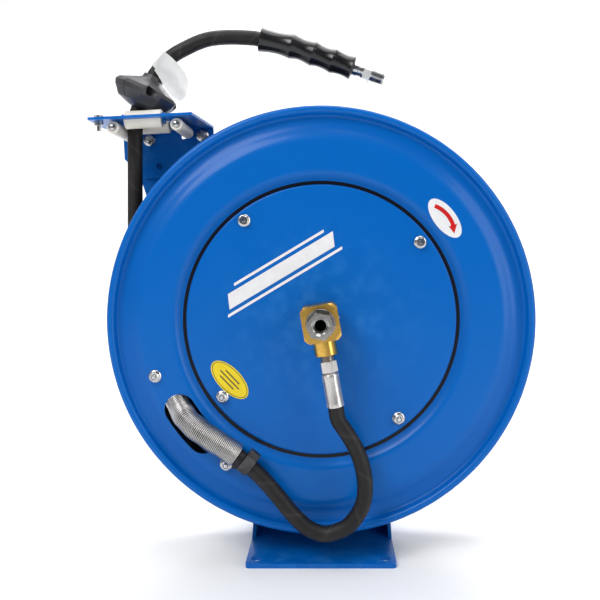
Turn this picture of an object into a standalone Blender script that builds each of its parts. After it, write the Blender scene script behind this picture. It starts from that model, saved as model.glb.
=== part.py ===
"""Spring-rewind hose reel on a pedestal: frame, spool, swivel, ratchet and roller guide.

Metres, +Z up. The origin is on the floor under the axle, in the middle plane of the spool.
The swivel inlet faces -Y and the pedestal stands behind the spool, on the +Y side.
"""

import math

import bmesh
import bpy
from mathutils import Matrix, Vector

# Driving dimensions
AXLE_HEIGHT = 0.270
GAP = 0.0003

HOSE_RADIUS = 0.0087
HOSE_PITCH = 0.0175
HOSE_LAYERS = 3
COIL_HALF_WIDTH = 0.0385
LEAD_ARC_START = math.radians(290.0)
LEAD_ARC_STEPS = 20
LEAD_X = -0.2220

SHEET = 0.0016
PLATE = 0.004
DRUM_RADIUS = 0.1608
DRUM_WALL = 0.0016
COVER_RADIUS = 0.1525
COVER_FRONT = 0.0455
COVER_BOLT_RADIUS = 0.1415
COVER_BOLT_ANGLE = math.radians(38.0)
DISC_BOLTS = ((-0.1865, AXLE_HEIGHT - 0.0634), (-0.1063, AXLE_HEIGHT - 0.1616))

LAND_FRONT = 0.0495
SLOT_RADIUS = 0.1880
SLOT_HALF_WIDTH = 0.0175
SLOT_START = math.radians(213.5)
SLOT_END = math.radians(226.0)

FOOT_HALF_WIDTH = 0.083
FOOT_FRONT = -0.070
FOOT_BACK = 0.0676
FOOT_THICK = 0.005
FOOT_HOLE_RADIUS = 0.0065
FOOT_HOLE_X = 0.0715
FOOT_HOLE_FRONT = -0.0555
FOOT_HOLE_BACK = 0.045

UPRIGHT_FRONT = 0.0626
UPRIGHT_THICK = 0.005
UPRIGHT_LOW_TOP = 0.120
UPRIGHT_TOP = 0.330
UPRIGHT_TOP_HALF_WIDTH = 0.050

AXLE_RADIUS = 0.0125
COLLAR_RADIUS = 0.0280
BUSH_RADIUS = 0.0155

ARM_FRONT = 0.0583
ARM_BACK = UPRIGHT_FRONT - GAP
ARM_BOLTS = ((-0.028, AXLE_HEIGHT + 0.036), (0.028, AXLE_HEIGHT + 0.036))

GUIDE_X = -0.2030
GUIDE_HEIGHT = 0.5000
GUIDE_TILT = math.radians(-3.0)
GUIDE_SHEET = 0.0030
GUIDE_FLANGE = 0.0030
GUIDE_BACK = ARM_FRONT - GAP
GUIDE_BOLTS = ((-0.0162, -0.0121), (0.0509, -0.0100))
GUIDE_HOLES = ((-0.0052, -0.0456), (0.0284, -0.0100))
KEEPER_X = -0.0530
KEEPER_Y = -0.0300

PIN_RADIUS = 0.0025
ROLLER_RADIUS = 0.0105
CROSS_ROLLER_X = -0.0032
CROSS_ROLLER_Y = 0.0210
CROSS_ROLLER_HALF = 0.0214
SIDE_ROLLER_RADIUS = 0.0072
SIDE_ROLLER_X = 0.0365
SIDE_ROLLER_Z = -0.0095
SIDE_ROLLER_HALF = 0.0335

RATCHET_TEETH = 8
RATCHET_RADIUS = 0.0620
RATCHET_ROOT = 0.0530
RATCHET_Y = 0.0500
RATCHET_THICK = 0.0050
RATCHET_PHASE = math.radians(-95.6)
PAWL_PIVOT = (0.0450, RATCHET_Y, AXLE_HEIGHT - 0.0715)

SWIVEL_CENTRE_Y = -0.0755
SWIVEL_TURN = math.radians(10.0)
SWIVEL_HALF = 0.0200
OUTLET_END = 0.0365
FERRULE_END = OUTLET_END + 0.0188 + 0.0380

CLAMP_BAND = 0.0015
CLAMP_CENTRE = (-0.0820, -0.0638, 0.1130)
GUARD_RADIUS = 0.0135
PIGTAIL_ROUTE = (
    (0.0187, -0.0758, 0.1640),
    (0.0259, -0.0770, 0.1533),
    (0.0373, -0.0780, 0.1346),
    (0.0451, -0.0780, 0.1132),
    (0.0479, -0.0780, 0.0904),
    (0.0442, -0.0770, 0.0694),
    (0.0314, -0.0750, 0.0500),
    (0.0174, -0.0730, 0.0417),
    (0.0028, -0.0710, 0.0383),
    (-0.0141, -0.0690, 0.0437),
    (-0.0307, -0.0665, 0.0578),
    (-0.0485, -0.0645, 0.0786),
    (-0.0650, -0.0635, 0.0970),
    (-0.0820, -0.0638, 0.1130),
)
GUARD_ROUTE = (
    (-0.0960, -0.0645, 0.1245),
    (-0.1130, -0.0655, 0.1360),
    (-0.1320, -0.0628, 0.1475),
    (-0.1480, -0.0548, 0.1580),
)
PIGTAIL_END = (-0.1600, -0.0462, 0.1670)

STOP_SCREW_Y = 0.0215
STOP_SEAM = math.radians(-29.0)
STOP_CENTRE = Vector((-0.2082, 0.0, 0.5352))
STOP_AXIS = Vector((math.sin(math.radians(25.0)), 0.0, math.cos(math.radians(25.0))))

LEAD_ROUTE = (
    (LEAD_X, 0.0, 0.3300),
    (LEAD_X, 0.0, 0.3900),
    (LEAD_X, 0.0, 0.4400),
    (LEAD_X, 0.0, 0.4800),
    (-0.2205, 0.0, 0.5089),
    (-0.2095, 0.0, 0.5325),
    (-0.1985, 0.0, 0.5561),
    (-0.1798, 0.0, 0.5770),
    (-0.1562, 0.0, 0.5906),
    (-0.1378, 0.0, 0.5979),
    (-0.1200, 0.0, 0.6006),
    (-0.1014, 0.0, 0.6010),
    (-0.0833, 0.0, 0.6000),
    (-0.0742, 0.0, 0.5986),
)
TAG_ROUTE = ((-0.1949, 0.0, 0.5610), (-0.1875, 0.0, 0.5690), (-0.1798, 0.0, 0.5770))
GRIP_ROUTE = ((-0.0742, 0.0, 0.5986), (-0.0369, 0.0, 0.5903), (-0.0108, 0.0, 0.5815), (0.0373, 0.0, 0.5640))


def clear_scene():
    for obj in list(bpy.data.objects):
        bpy.data.objects.remove(obj, do_unlink=True)


def material(name, colour, roughness, metallic):
    made = bpy.data.materials.new(name)
    made.use_nodes = True
    shader = made.node_tree.nodes["Principled BSDF"]
    shader.inputs["Base Color"].default_value = (*colour, 1.0)
    shader.inputs["Roughness"].default_value = roughness
    shader.inputs["Metallic"].default_value = metallic
    made.diffuse_color = (*colour, 1.0)
    return made


clear_scene()
BLUE = material("blue_powder_coat", (0.0, 0.13, 0.55), 0.32, 0.0)
ZINC = material("zinc_plated_steel", (0.72, 0.72, 0.70), 0.30, 1.0)
STEEL = material("stainless_steel", (0.60, 0.60, 0.60), 0.25, 1.0)
BRASS = material("brass", (0.75, 0.52, 0.16), 0.28, 1.0)
HOSE = material("hose_rubber", (0.035, 0.032, 0.030), 0.65, 0.0)
BLACK = material("black_plastic", (0.020, 0.020, 0.022), 0.45, 0.0)
NYLON = material("white_nylon", (0.82, 0.79, 0.70), 0.45, 0.0)
BRONZE = material("sintered_bronze", (0.45, 0.30, 0.14), 0.45, 1.0)
SPRING = material("spring_steel", (0.32, 0.33, 0.36), 0.35, 1.0)
PAPER = material("tag_vinyl", (0.88, 0.88, 0.86), 0.50, 0.0)


def add(name, mesh, finish):
    obj = bpy.data.objects.new(name, mesh)
    bpy.context.scene.collection.objects.link(obj)
    if finish is not None:
        mesh.materials.append(finish)
    return obj


def finish_mesh(bm, name, merge=1e-6):
    bmesh.ops.remove_doubles(bm, verts=bm.verts, dist=merge)
    bmesh.ops.recalc_face_normals(bm, faces=bm.faces)
    mesh = bpy.data.meshes.new(name)
    bm.to_mesh(mesh)
    bm.free()
    mesh.shade_smooth()
    mesh.set_sharp_from_angle(angle=math.radians(35.0))
    return mesh


def turned(name, profile, finish, segments=24, phase=0.0):
    """A closed profile of (radius, height) points turned about the object's own Z axis."""
    bm = bmesh.new()
    rings = []
    for i in range(segments):
        angle = phase + 2.0 * math.pi * i / segments
        ring = []
        for radius, height in profile:
            at = (radius * math.cos(angle), radius * math.sin(angle), height)
            ring.append(bm.verts.new(at))
        rings.append(ring)
    count = len(profile)
    for i in range(segments):
        here = rings[i]
        there = rings[(i + 1) % segments]
        for j in range(count):
            k = (j + 1) % count
            on_axis = profile[j][0] < 1e-9 and profile[k][0] < 1e-9
            if not on_axis:
                bm.faces.new((here[j], there[j], there[k], here[k]))
    bmesh.ops.remove_doubles(bm, verts=bm.verts, dist=1e-6)
    bmesh.ops.dissolve_degenerate(bm, edges=bm.edges, dist=1e-7)
    return add(name, finish_mesh(bm, name), finish)


def facing_front(obj, x, y, z):
    """Turns an object so that its own Z axis points to the front, -Y."""
    obj.location = (x, y, z)
    obj.rotation_euler = (math.radians(90.0), 0.0, 0.0)
    return obj


def on_spool_axis(obj):
    return facing_front(obj, 0.0, 0.0, AXLE_HEIGHT)


def prism(name, outline, low, high, finish):
    """An outline of (x, y) points extruded along the object's own Z axis."""
    bm = bmesh.new()
    face = bm.faces.new([bm.verts.new((x, y, low)) for x, y in outline])
    made = bmesh.ops.extrude_face_region(bm, geom=[face])
    moved = [item for item in made["geom"] if isinstance(item, bmesh.types.BMVert)]
    bmesh.ops.translate(bm, verts=moved, vec=(0.0, 0.0, high - low))
    return add(name, finish_mesh(bm, name), finish)


def box(name, low, high, finish):
    outline = [(low[0], low[1]), (high[0], low[1]), (high[0], high[1]), (low[0], high[1])]
    return prism(name, outline, low[2], high[2], finish)


def as_cutter(obj):
    obj.hide_render = True
    obj.display_type = "WIRE"
    return obj


def combine(obj, other, operation):
    step = obj.modifiers.new(operation.lower() + "_" + other.name, "BOOLEAN")
    step.operation = operation
    step.solver = "EXACT"
    step.object = as_cutter(other)
    return obj


def cut(obj, other):
    return combine(obj, other, "DIFFERENCE")


def join(obj, other):
    return combine(obj, other, "UNION")


def round_cutter(name, radius, low, high, segments=16):
    profile = [(0.0, low), (radius, low), (radius, high), (0.0, high)]
    return turned(name, profile, None, segments)


def arc(cx, cy, radius, start, end, steps):
    points = []
    for i in range(steps + 1):
        angle = start + (end - start) * i / steps
        points.append((cx + radius * math.cos(angle), cy + radius * math.sin(angle)))
    return points


def rounded_box_outline(half_x, low_y, high_y, radius, steps=4):
    right = half_x - radius
    quarter = math.pi / 2.0
    points = arc(right, high_y - radius, radius, 0.0, quarter, steps)
    points += arc(-right, high_y - radius, radius, quarter, 2.0 * quarter, steps)
    points += arc(-right, low_y + radius, radius, 2.0 * quarter, 3.0 * quarter, steps)
    points += arc(right, low_y + radius, radius, 3.0 * quarter, 4.0 * quarter, steps)
    return points


def smooth_route(points, spacing):
    """Points about one spacing apart on a smooth curve through the route's own points."""
    route = [Vector(point) for point in points]
    route.insert(0, 2.0 * route[0] - route[1])
    route.append(2.0 * route[-1] - route[-2])
    found = [route[1]]
    for i in range(1, len(route) - 2):
        before, start, end, after = route[i - 1 : i + 3]
        steps = max(1, round((end - start).length / spacing))
        for j in range(1, steps + 1):
            t = j / steps
            linear = (end - before) * t
            square = (2.0 * before - 5.0 * start + 4.0 * end - after) * t**2
            cubic = (3.0 * start - before - 3.0 * end + after) * t**3
            found.append(start + 0.5 * (linear + square + cubic))
    return found


def tube(name, points, radius, finish, sides=2):
    data = bpy.data.curves.new(name, "CURVE")
    data.dimensions = "3D"
    data.bevel_depth = radius
    data.bevel_resolution = sides
    data.use_fill_caps = True
    data.twist_mode = "MINIMUM"
    spline = data.splines.new("POLY")
    spline.points.add(len(points) - 1)
    for place, point in zip(spline.points, points):
        place.co = (*point, 1.0)
    data.materials.append(finish)
    obj = bpy.data.objects.new(name, data)
    bpy.context.scene.collection.objects.link(obj)
    return obj


def sheet_profile(middle, thickness):
    """A closed profile around a line of (radius, height) points, half a sheet to each side."""
    left = []
    right = []
    for i, (radius, height) in enumerate(middle):
        before = Vector(middle[max(0, i - 1)])
        after = Vector(middle[min(len(middle) - 1, i + 1)])
        along = (after - before).normalized()
        across = Vector((-along.y, along.x)) * thickness / 2.0
        left.append((radius + across.x, height + across.y))
        right.append((radius - across.x, height - across.y))
    return left + right[::-1]


# Frame


def make_foot():
    outline = rounded_box_outline(FOOT_HALF_WIDTH, FOOT_FRONT, FOOT_BACK, 0.004)
    foot = prism("foot_plate", outline, 0.0, FOOT_THICK, BLUE)
    for x in (-FOOT_HOLE_X, FOOT_HOLE_X):
        for y in (FOOT_HOLE_FRONT, FOOT_HOLE_BACK):
            hole = round_cutter("foot_hole_cutter", FOOT_HOLE_RADIUS, -0.01, 0.02)
            hole.location = (x, y, 0.0)
            cut(foot, hole)
    drain_hole = round_cutter("drain_hole_cutter", 0.0018, -0.01, 0.02, 10)
    drain_hole.location = (0.0315, -0.065, 0.0)
    cut(foot, drain_hole)


def make_upright():
    """Flat upright welded to the foot's back edge, with a gusset bent forward at each side."""
    low = FOOT_THICK + GAP
    half = FOOT_HALF_WIDTH
    outline = [
        (-half, low),
        (half, low),
        (half, UPRIGHT_LOW_TOP),
        (UPRIGHT_TOP_HALF_WIDTH, UPRIGHT_TOP),
        (-UPRIGHT_TOP_HALF_WIDTH, UPRIGHT_TOP),
        (-half, UPRIGHT_LOW_TOP),
    ]
    back = UPRIGHT_FRONT + UPRIGHT_THICK
    upright = plate_facing_front("upright", outline, UPRIGHT_FRONT, back, BLUE)
    gusset = [
        (0.000, low),
        (0.036, 0.0400),
        (0.0550, 0.0400),
        (0.0550, 0.0950),
        (UPRIGHT_FRONT + 0.001, 0.1100),
        (UPRIGHT_FRONT + 0.001, low),
    ]
    for side in (-1, 1):
        flat = prism("gusset_cutter", gusset, 0.0, PLATE, None)
        turn = Matrix(((0.0, 0.0, 1.0), (1.0, 0.0, 0.0), (0.0, 1.0, 0.0))).to_4x4()
        start = half - PLATE if side > 0 else -half
        flat.matrix_world = Matrix.Translation((start, 0.0, 0.0)) @ turn
        join(upright, flat)
    cut(upright, y_hole("axle_hole_cutter", AXLE_RADIUS + GAP, 0.0, AXLE_HEIGHT))
    for x, z in ARM_BOLTS:
        cut(upright, y_hole("arm_hole_cutter", 0.0043, x, z))
    cut(upright, y_hole("pawl_hole_cutter", 0.0043, PAWL_PIVOT[0], PAWL_PIVOT[2]))


def y_hole(name, radius, x, z):
    return facing_front(round_cutter(name, radius, -0.2, 0.2), x, 0.0, z)


def make_axle():
    """Stepped shaft: threaded end, flange against the arm, long journal for the two bushes."""
    back = -(UPRIGHT_FRONT + UPRIGHT_THICK + 0.018)
    flange_back = -(ARM_FRONT - GAP)
    flange_front = -(ARM_FRONT - 0.0055)
    profile = [
        (0.0, back),
        (AXLE_RADIUS - 0.0012, back),
        (AXLE_RADIUS, back + 0.0012),
        (AXLE_RADIUS, flange_back),
        (COLLAR_RADIUS, flange_back),
        (COLLAR_RADIUS, flange_front),
        (AXLE_RADIUS, flange_front),
        (AXLE_RADIUS, 0.030),
        (0.0, 0.030),
    ]
    on_spool_axis(turned("axle", profile, STEEL, 24))


def ring_profile(inner, outer, low, high):
    return [(inner, low), (outer, low), (outer, high), (inner, high)]


def make_axle_nut():
    back = UPRIGHT_FRONT + UPRIGHT_THICK
    washer = ring_profile(AXLE_RADIUS + GAP, 0.022, -(back + 0.0033), -(back + GAP))
    on_spool_axis(turned("axle_washer", washer, ZINC, 20))
    nut, hole = hex_nut("axle_nut", 0.036, AXLE_RADIUS + GAP, -(back + 0.0146), -(back + 0.0036), ZINC)
    cut(on_spool_axis(nut), on_spool_axis(hole))


def make_guide_arm():
    """Flat arm from the axle up and left to the roller guide."""
    outline = [
        (-0.2310, 0.4750),
        (-0.1500, 0.4950),
        (-0.0100, 0.3400),
        (0.0400, 0.3250),
        (0.0400, 0.2300),
        (-0.0400, 0.2150),
        (-0.0900, 0.2600),
        (-0.2230, 0.4151),
        (-0.2307, 0.4393),
    ]
    arm = plate_facing_front("guide_arm", outline, ARM_FRONT, ARM_BACK, BLUE)
    cut(arm, y_hole("arm_bore_cutter", AXLE_RADIUS + 0.001, 0.0, AXLE_HEIGHT))
    for x, z in ARM_BOLTS:
        cut(arm, y_hole("arm_hole_cutter", 0.0043, x, z))
    for x, z in GUIDE_BOLTS:
        cut(arm, on_guide(round_cutter("arm_hole_cutter", 0.0043, -0.1, 0.1), x, 0.0, z, "Y"))


def make_keeper_bolt():
    """Small vertical bolt and nut at the left end of the guide plate."""
    top = GUIDE_SHEET / 2.0 + GAP
    profile = [
        (0.0, -top - 0.0110),
        (0.0025, -top - 0.0110),
        (0.0025, -top - 0.0050),
        (0.0050, -top - 0.0045),
        (0.0050, -top),
        (0.0025, -top),
        (0.0025, top),
        (0.0055, top),
        (0.0050, top + 0.0032),
        (0.0, top + 0.0042),
    ]
    on_guide(turned("keeper_bolt", profile, ZINC, 12), KEEPER_X, KEEPER_Y, 0.0)


def roller_profile(half, radius):
    bore = PIN_RADIUS + 0.0006
    edge = 0.0020
    return [
        (bore, -half),
        (radius - edge, -half),
        (radius, -half + edge),
        (radius, half - edge),
        (radius - edge, half),
        (bore, half),
    ]


def make_rollers():
    """Two rollers in front of and behind the hose, and two longer ones left and right of it."""
    for name, y in (("front", -CROSS_ROLLER_Y), ("rear", CROSS_ROLLER_Y)):
        profile = roller_profile(CROSS_ROLLER_HALF, ROLLER_RADIUS)
        on_guide(turned(name + "_roller", profile, NYLON, 18), CROSS_ROLLER_X, y, 0.0, "X")
        reach = CROSS_ROLLER_HALF + 0.0023
        profile = [(0.0, -reach), (PIN_RADIUS, -reach), (PIN_RADIUS, reach), (0.0, reach)]
        on_guide(turned(name + "_pin", profile, ZINC, 10), CROSS_ROLLER_X + 0.0002, y, 0.0, "X")
    for name, x in (("left", -SIDE_ROLLER_X), ("right", SIDE_ROLLER_X)):
        profile = roller_profile(SIDE_ROLLER_HALF, SIDE_ROLLER_RADIUS)
        on_guide(turned(name + "_roller", profile, NYLON, 18), x, 0.0, SIDE_ROLLER_Z, "Y")
        front = SIDE_ROLLER_HALF + 0.0005
        profile = [
            (0.0, -(GUIDE_BACK - GAP)),
            (PIN_RADIUS, -(GUIDE_BACK - GAP)),
            (PIN_RADIUS, front),
            (0.0050, front),
            (0.0050, front + 0.0030),
            (0.0, front + 0.0035),
        ]
        on_guide(turned(name + "_pin", profile, ZINC, 10), x, 0.0, SIDE_ROLLER_Z, "Y")


# Spool


def disc_middle():
    """The disc's pressed shape from its bore to its rolled rim, as (radius, forward) points."""
    line = [
        (0.1380, 0.0418),
        (0.1580, 0.0418),
        (0.1640, 0.0470),
        (0.1700, LAND_FRONT - SHEET / 2.0),
        (0.1990, LAND_FRONT - SHEET / 2.0),
        (0.2110, 0.0455),
        (0.2200, 0.0420),
        (0.2300, 0.0412),
    ]
    bead = arc(0.2364, 0.0475, 0.0038, math.radians(205.0), math.radians(-60.0), 4)
    return line + bead


def make_disc(name, front):
    disc = turned(name, sheet_profile(disc_middle(), SHEET), BLUE, 48)
    on_spool_axis(disc)
    if not front:
        disc.rotation_euler = (math.radians(-90.0), 0.0, 0.0)
    return disc


def kidney_outline():
    outer = SLOT_RADIUS + SLOT_HALF_WIDTH
    inner = SLOT_RADIUS - SLOT_HALF_WIDTH
    points = arc(0.0, 0.0, outer, SLOT_START, SLOT_END, 4)
    cx = SLOT_RADIUS * math.cos(SLOT_END)
    cy = SLOT_RADIUS * math.sin(SLOT_END)
    points += arc(cx, cy, SLOT_HALF_WIDTH, SLOT_END, SLOT_END + math.pi, 8)[1:-1]
    points += arc(0.0, 0.0, inner, SLOT_END, SLOT_START, 4)
    cx = SLOT_RADIUS * math.cos(SLOT_START)
    cy = SLOT_RADIUS * math.sin(SLOT_START)
    points += arc(cx, cy, SLOT_HALF_WIDTH, SLOT_START + math.pi, SLOT_START + 2.0 * math.pi, 8)[1:-1]
    return points


def make_front_disc():
    disc = make_disc("front_disc", True)
    slot = on_spool_axis(prism("slot_cutter", kidney_outline(), 0.020, 0.070, None))
    cut(disc, slot)
    for x, z in DISC_BOLTS:
        cut(disc, y_hole("disc_hole_cutter", 0.0035, x, z))
    for x, z in cover_bolts():
        cut(disc, y_hole("disc_hole_cutter", 0.0035, x, z))


def cover_bolts():
    found = []
    for i in range(4):
        angle = COVER_BOLT_ANGLE + i * math.pi / 2.0
        x = COVER_BOLT_RADIUS * math.cos(angle)
        found.append((x, AXLE_HEIGHT + COVER_BOLT_RADIUS * math.sin(angle)))
    return found


def make_drum():
    """Open cylinder with an inward flange at each end for the cover and the back wall."""
    outer = DRUM_RADIUS
    inner = DRUM_RADIUS - DRUM_WALL
    end = 0.0406
    profile = [
        (0.1310, -end),
        (outer, -end),
        (outer, end),
        (0.1310, end),
        (0.1310, end - DRUM_WALL),
        (inner, end - DRUM_WALL),
        (inner, -end + DRUM_WALL),
        (0.1310, -end + DRUM_WALL),
    ]
    drum = on_spool_axis(turned("drum", profile, BLUE, 40))
    for x, z in cover_bolts():
        cut(drum, y_hole("drum_hole_cutter", 0.0035, x, z))


def make_cover():
    """Front cover of the drum: a shallow pressed plate with the front hub boss at its centre."""
    profile = [
        (0.0, COVER_FRONT),
        (0.1440, COVER_FRONT),
        (0.1500, COVER_FRONT - 0.0004),
        (COVER_RADIUS, COVER_FRONT - 0.0016),
        (COVER_RADIUS, 0.0429),
        (0.1200, 0.0429),
        (0.1160, 0.0436),
        (0.0240, 0.0436),
        (0.0210, 0.0400),
        (0.0210, 0.0080),
        (BUSH_RADIUS + GAP, 0.0080),
        (BUSH_RADIUS + GAP, 0.0320),
        (0.0, 0.0320),
    ]
    cover = on_spool_axis(turned("front_cover", profile, BLUE, 48))
    for x, z in cover_bolts():
        cut(cover, y_hole("cover_hole_cutter", 0.0035, x, z))


def make_back_wall():
    """Back of the drum: a plate bolted behind the disc, with the rear hub boss."""
    profile = [
        (BUSH_RADIUS + GAP, -0.0455),
        (0.0240, -0.0455),
        (0.0250, -0.0445),
        (0.1500, -0.0445),
        (0.1500, -0.0429),
        (0.0210, -0.0429),
        (0.0210, -0.0330),
        (BUSH_RADIUS + GAP, -0.0330),
    ]
    wall = on_spool_axis(turned("back_wall", profile, BLUE, 40))
    for x, z in cover_bolts():
        cut(wall, y_hole("wall_hole_cutter", 0.0035, x, z))


def make_bushes():
    for name, low, high in (("bush_front", 0.0090, 0.0290), ("bush_back", -0.0452, -0.0335)):
        profile = ring_profile(AXLE_RADIUS + GAP, BUSH_RADIUS, low, high)
        on_spool_axis(turned(name, profile, BRONZE, 24))


def make_arbor():
    """Spring arbor fixed on the axle between the two bushes, with a slot for the spring's inner end."""
    profile = ring_profile(AXLE_RADIUS + GAP, 0.0240, -0.0300, 0.0060)
    arbor = on_spool_axis(turned("spring_arbor", profile, STEEL, 24))
    slot = box("arbor_slot_cutter", (0.0180, -0.0012, -0.040), (0.0300, 0.0012, 0.020), None)
    cut(arbor, on_spool_axis(slot))


def make_mainspring():
    """Flat clock spring: a wide steel strip wound in a spiral between the arbor and the drum."""
    turns = 6
    steps = 18 * turns
    inner = 0.0255
    outer = DRUM_RADIUS - DRUM_WALL - 0.0018
    strip = 0.0012
    half = 0.0170
    middle = -0.0120
    bm = bmesh.new()
    rings = []
    for i in range(steps + 1):
        t = i / steps
        angle = 2.0 * math.pi * turns * t
        radius = inner + (outer - inner) * t**0.85
        across = Vector((math.cos(angle), math.sin(angle), 0.0))
        ring = []
        for dr, dz in ((-0.5, -1.0), (0.5, -1.0), (0.5, 1.0), (-0.5, 1.0)):
            at = across * (radius + dr * strip)
            at.z = middle + dz * half
            ring.append(bm.verts.new(at))
        rings.append(ring)
    for here, there in zip(rings, rings[1:]):
        for j in range(4):
            k = (j + 1) % 4
            bm.faces.new((here[j], there[j], there[k], here[k]))
    bm.faces.new(rings[0])
    bm.faces.new(rings[-1][::-1])
    on_spool_axis(add("mainspring", finish_mesh(bm, "mainspring"), SPRING))


def make_ratchet():
    """Toothed wheel on the spool's back wall: radial catch faces with sloping backs."""
    outline = []
    pitch = 2.0 * math.pi / RATCHET_TEETH
    steps = ((0.0, RATCHET_ROOT), (0.25, RATCHET_ROOT), (0.62, RATCHET_RADIUS), (0.98, RATCHET_RADIUS))
    for i in range(RATCHET_TEETH):
        for part, radius in steps:
            angle = RATCHET_PHASE + (i + part) * pitch
            outline.append((radius * math.cos(angle), radius * math.sin(angle)))
    low = -(RATCHET_Y + RATCHET_THICK / 2.0)
    high = -(RATCHET_Y - RATCHET_THICK / 2.0)
    wheel = on_spool_axis(prism("ratchet_wheel", outline, low, high, ZINC))
    boss = ring_profile(0.0, 0.0400, high - 0.001, -(0.0445 + GAP))
    join(wheel, on_spool_axis(turned("ratchet_boss_cutter", boss, None, 24)))
    cut(wheel, y_hole("ratchet_bore_cutter", 0.0262, 0.0, AXLE_HEIGHT))


def make_pawl():
    """Pawl below the ratchet wheel, at rest just clear of its teeth; it tips up to catch them."""
    outline = arc(0.0, 0.0, 0.0080, math.radians(-110.0), math.radians(100.0), 8)
    outline += [(-0.0360, 0.0062), (-0.0420, 0.0083), (-0.0480, 0.0083), (-0.0480, 0.0020)]
    half = RATCHET_THICK / 2.0 - 0.0002
    pawl = prism("pawl", outline, -half, half, ZINC)
    facing_front(pawl, *PAWL_PIVOT)
    cut(pawl, y_hole("pawl_bore_cutter", 0.0043, PAWL_PIVOT[0], PAWL_PIVOT[2]))


def make_pawl_spring():
    """Torsion spring around the pawl pin's shoulder, with one leg down to the upright."""
    points = []
    turns = 4
    coil = 0.0076
    start = RATCHET_Y + RATCHET_THICK / 2.0 + 0.0024
    end = UPRIGHT_FRONT - 0.0020
    steps = 10 * turns
    for i in range(steps + 1):
        angle = 2.0 * math.pi * i / steps * turns - math.pi / 2.0
        x = PAWL_PIVOT[0] + coil * math.cos(angle)
        z = PAWL_PIVOT[2] + coil * math.sin(angle)
        points.append((x, start + (end - start) * i / steps, z))
    points.append((PAWL_PIVOT[0] + 0.018, end, PAWL_PIVOT[2] - 0.0085))
    tube("pawl_spring", points, 0.0007, SPRING, 1)


def make_cover_nuts():
    for i, (x, z) in enumerate(cover_bolts()):
        profile = flange_nut_profile(COVER_FRONT, 0.0365)
        facing_front(turned("cover_nut_%d" % (i + 1), profile, ZINC, 12), x, 0.0, z)


def flange_nut_profile(front, inside):
    """A short bolt with its flanged nut: the nut on the front face, the head inside."""
    face = front + GAP
    return [
        (0.0, inside - 0.0030),
        (0.0055, inside - 0.0030),
        (0.0055, inside),
        (0.0030, inside),
        (0.0030, face),
        (0.0070, face),
        (0.0070, face + 0.0012),
        (0.0056, face + 0.0016),
        (0.0054, face + 0.0054),
        (0.0036, face + 0.0062),
        (0.0030, face + 0.0062),
        (0.0030, face + 0.0078),
        (0.0, face + 0.0078),
    ]


def make_disc_bolts():
    x, z = DISC_BOLTS[0]
    profile = flange_nut_profile(LAND_FRONT, 0.0450)
    facing_front(turned("slot_bolt", profile, ZINC, 12), x, 0.0, z)
    x, z = DISC_BOLTS[1]
    profile = flange_nut_profile(LAND_FRONT + CLAMP_BAND + GAP, 0.0450)
    facing_front(turned("clamp_bolt", profile, ZINC, 12), x, 0.0, z)


# Swivel


def make_swivel():
    """Square brass body, held to the cover by a locknut, with the steel stem turning in it."""
    back = -SWIVEL_CENTRE_Y - SWIVEL_HALF
    front = -SWIVEL_CENTRE_Y + SWIVEL_HALF
    outline = rounded_box_outline(SWIVEL_HALF, -SWIVEL_HALF, SWIVEL_HALF, 0.006, 3)
    body = prism("swivel_body", outline, back, front, BRASS)
    on_spool_axis(body)
    body.rotation_euler = (math.radians(90.0), -SWIVEL_TURN, 0.0)
    neck = turned("swivel_neck_cutter", ring_profile(0.0, 0.0125, -0.001, 0.0175), None, 20)
    join(body, place_on_outlet(neck, 0.0190))
    spigot = ring_profile(0.0, 0.0110, COVER_FRONT + GAP, back + 0.002)
    join(body, on_spool_axis(turned("spigot_cutter", spigot, None, 20)))
    socket = ring_profile(0.0, 0.0120, back + 0.008, front + 0.01)
    cut(body, on_spool_axis(turned("stem_bore_cutter", socket, None, 24)))
    outlet = round_cutter("outlet_bore_cutter", 0.0080, 0.0240, 0.045, 12)
    cut(body, place_on_outlet(outlet, 0.0))
    low = COVER_FRONT + GAP
    nut, hole = hex_nut("swivel_locknut", 0.036, 0.0114, low, back - GAP, ZINC, SWIVEL_TURN)
    cut(on_spool_axis(nut), on_spool_axis(hole))


def outlet_direction():
    return Vector((math.sin(SWIVEL_TURN), 0.0, -math.cos(SWIVEL_TURN)))


def place_on_outlet(obj, distance):
    """Puts an object on the swivel's outlet axis, its own Z pointing down the outlet."""
    down = outlet_direction()
    centre = Vector((0.0, SWIVEL_CENTRE_Y, AXLE_HEIGHT)) + down * distance
    turn = Vector((0.0, 0.0, 1.0)).rotation_difference(down)
    obj.matrix_world = Matrix.Translation(centre) @ turn.to_matrix().to_4x4()
    return obj


def make_stem():
    """Inlet stem: a shaft with a seal groove in the brass body, and a hexagon in front."""
    front = -SWIVEL_CENTRE_Y + SWIVEL_HALF
    back = -SWIVEL_CENTRE_Y - SWIVEL_HALF + 0.009
    profile = [
        (0.0050, back),
        (0.0110, back),
        (0.0110, back + 0.008),
        (0.0096, back + 0.008),
        (0.0096, back + 0.011),
        (0.0110, back + 0.011),
        (0.0110, front + 0.0030),
        (0.0050, front + 0.0030),
    ]
    stem = on_spool_axis(turned("swivel_stem", profile, STEEL, 24))
    corner = 0.026 / math.sqrt(3.0)
    head = ring_profile(0.0, corner, front + 0.0020, front + 0.0280)
    head = on_spool_axis(turned("stem_head_cutter", head, None, 6, math.radians(8.0)))
    join(stem, head)
    bore = round_cutter("stem_bore_cutter", 0.0050, back - 0.01, front + 0.020, 16)
    cut(stem, on_spool_axis(bore))
    mouth = round_cutter("stem_mouth_cutter", 0.0080, front + 0.0140, front + 0.040, 20)
    cut(stem, on_spool_axis(mouth))


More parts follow.
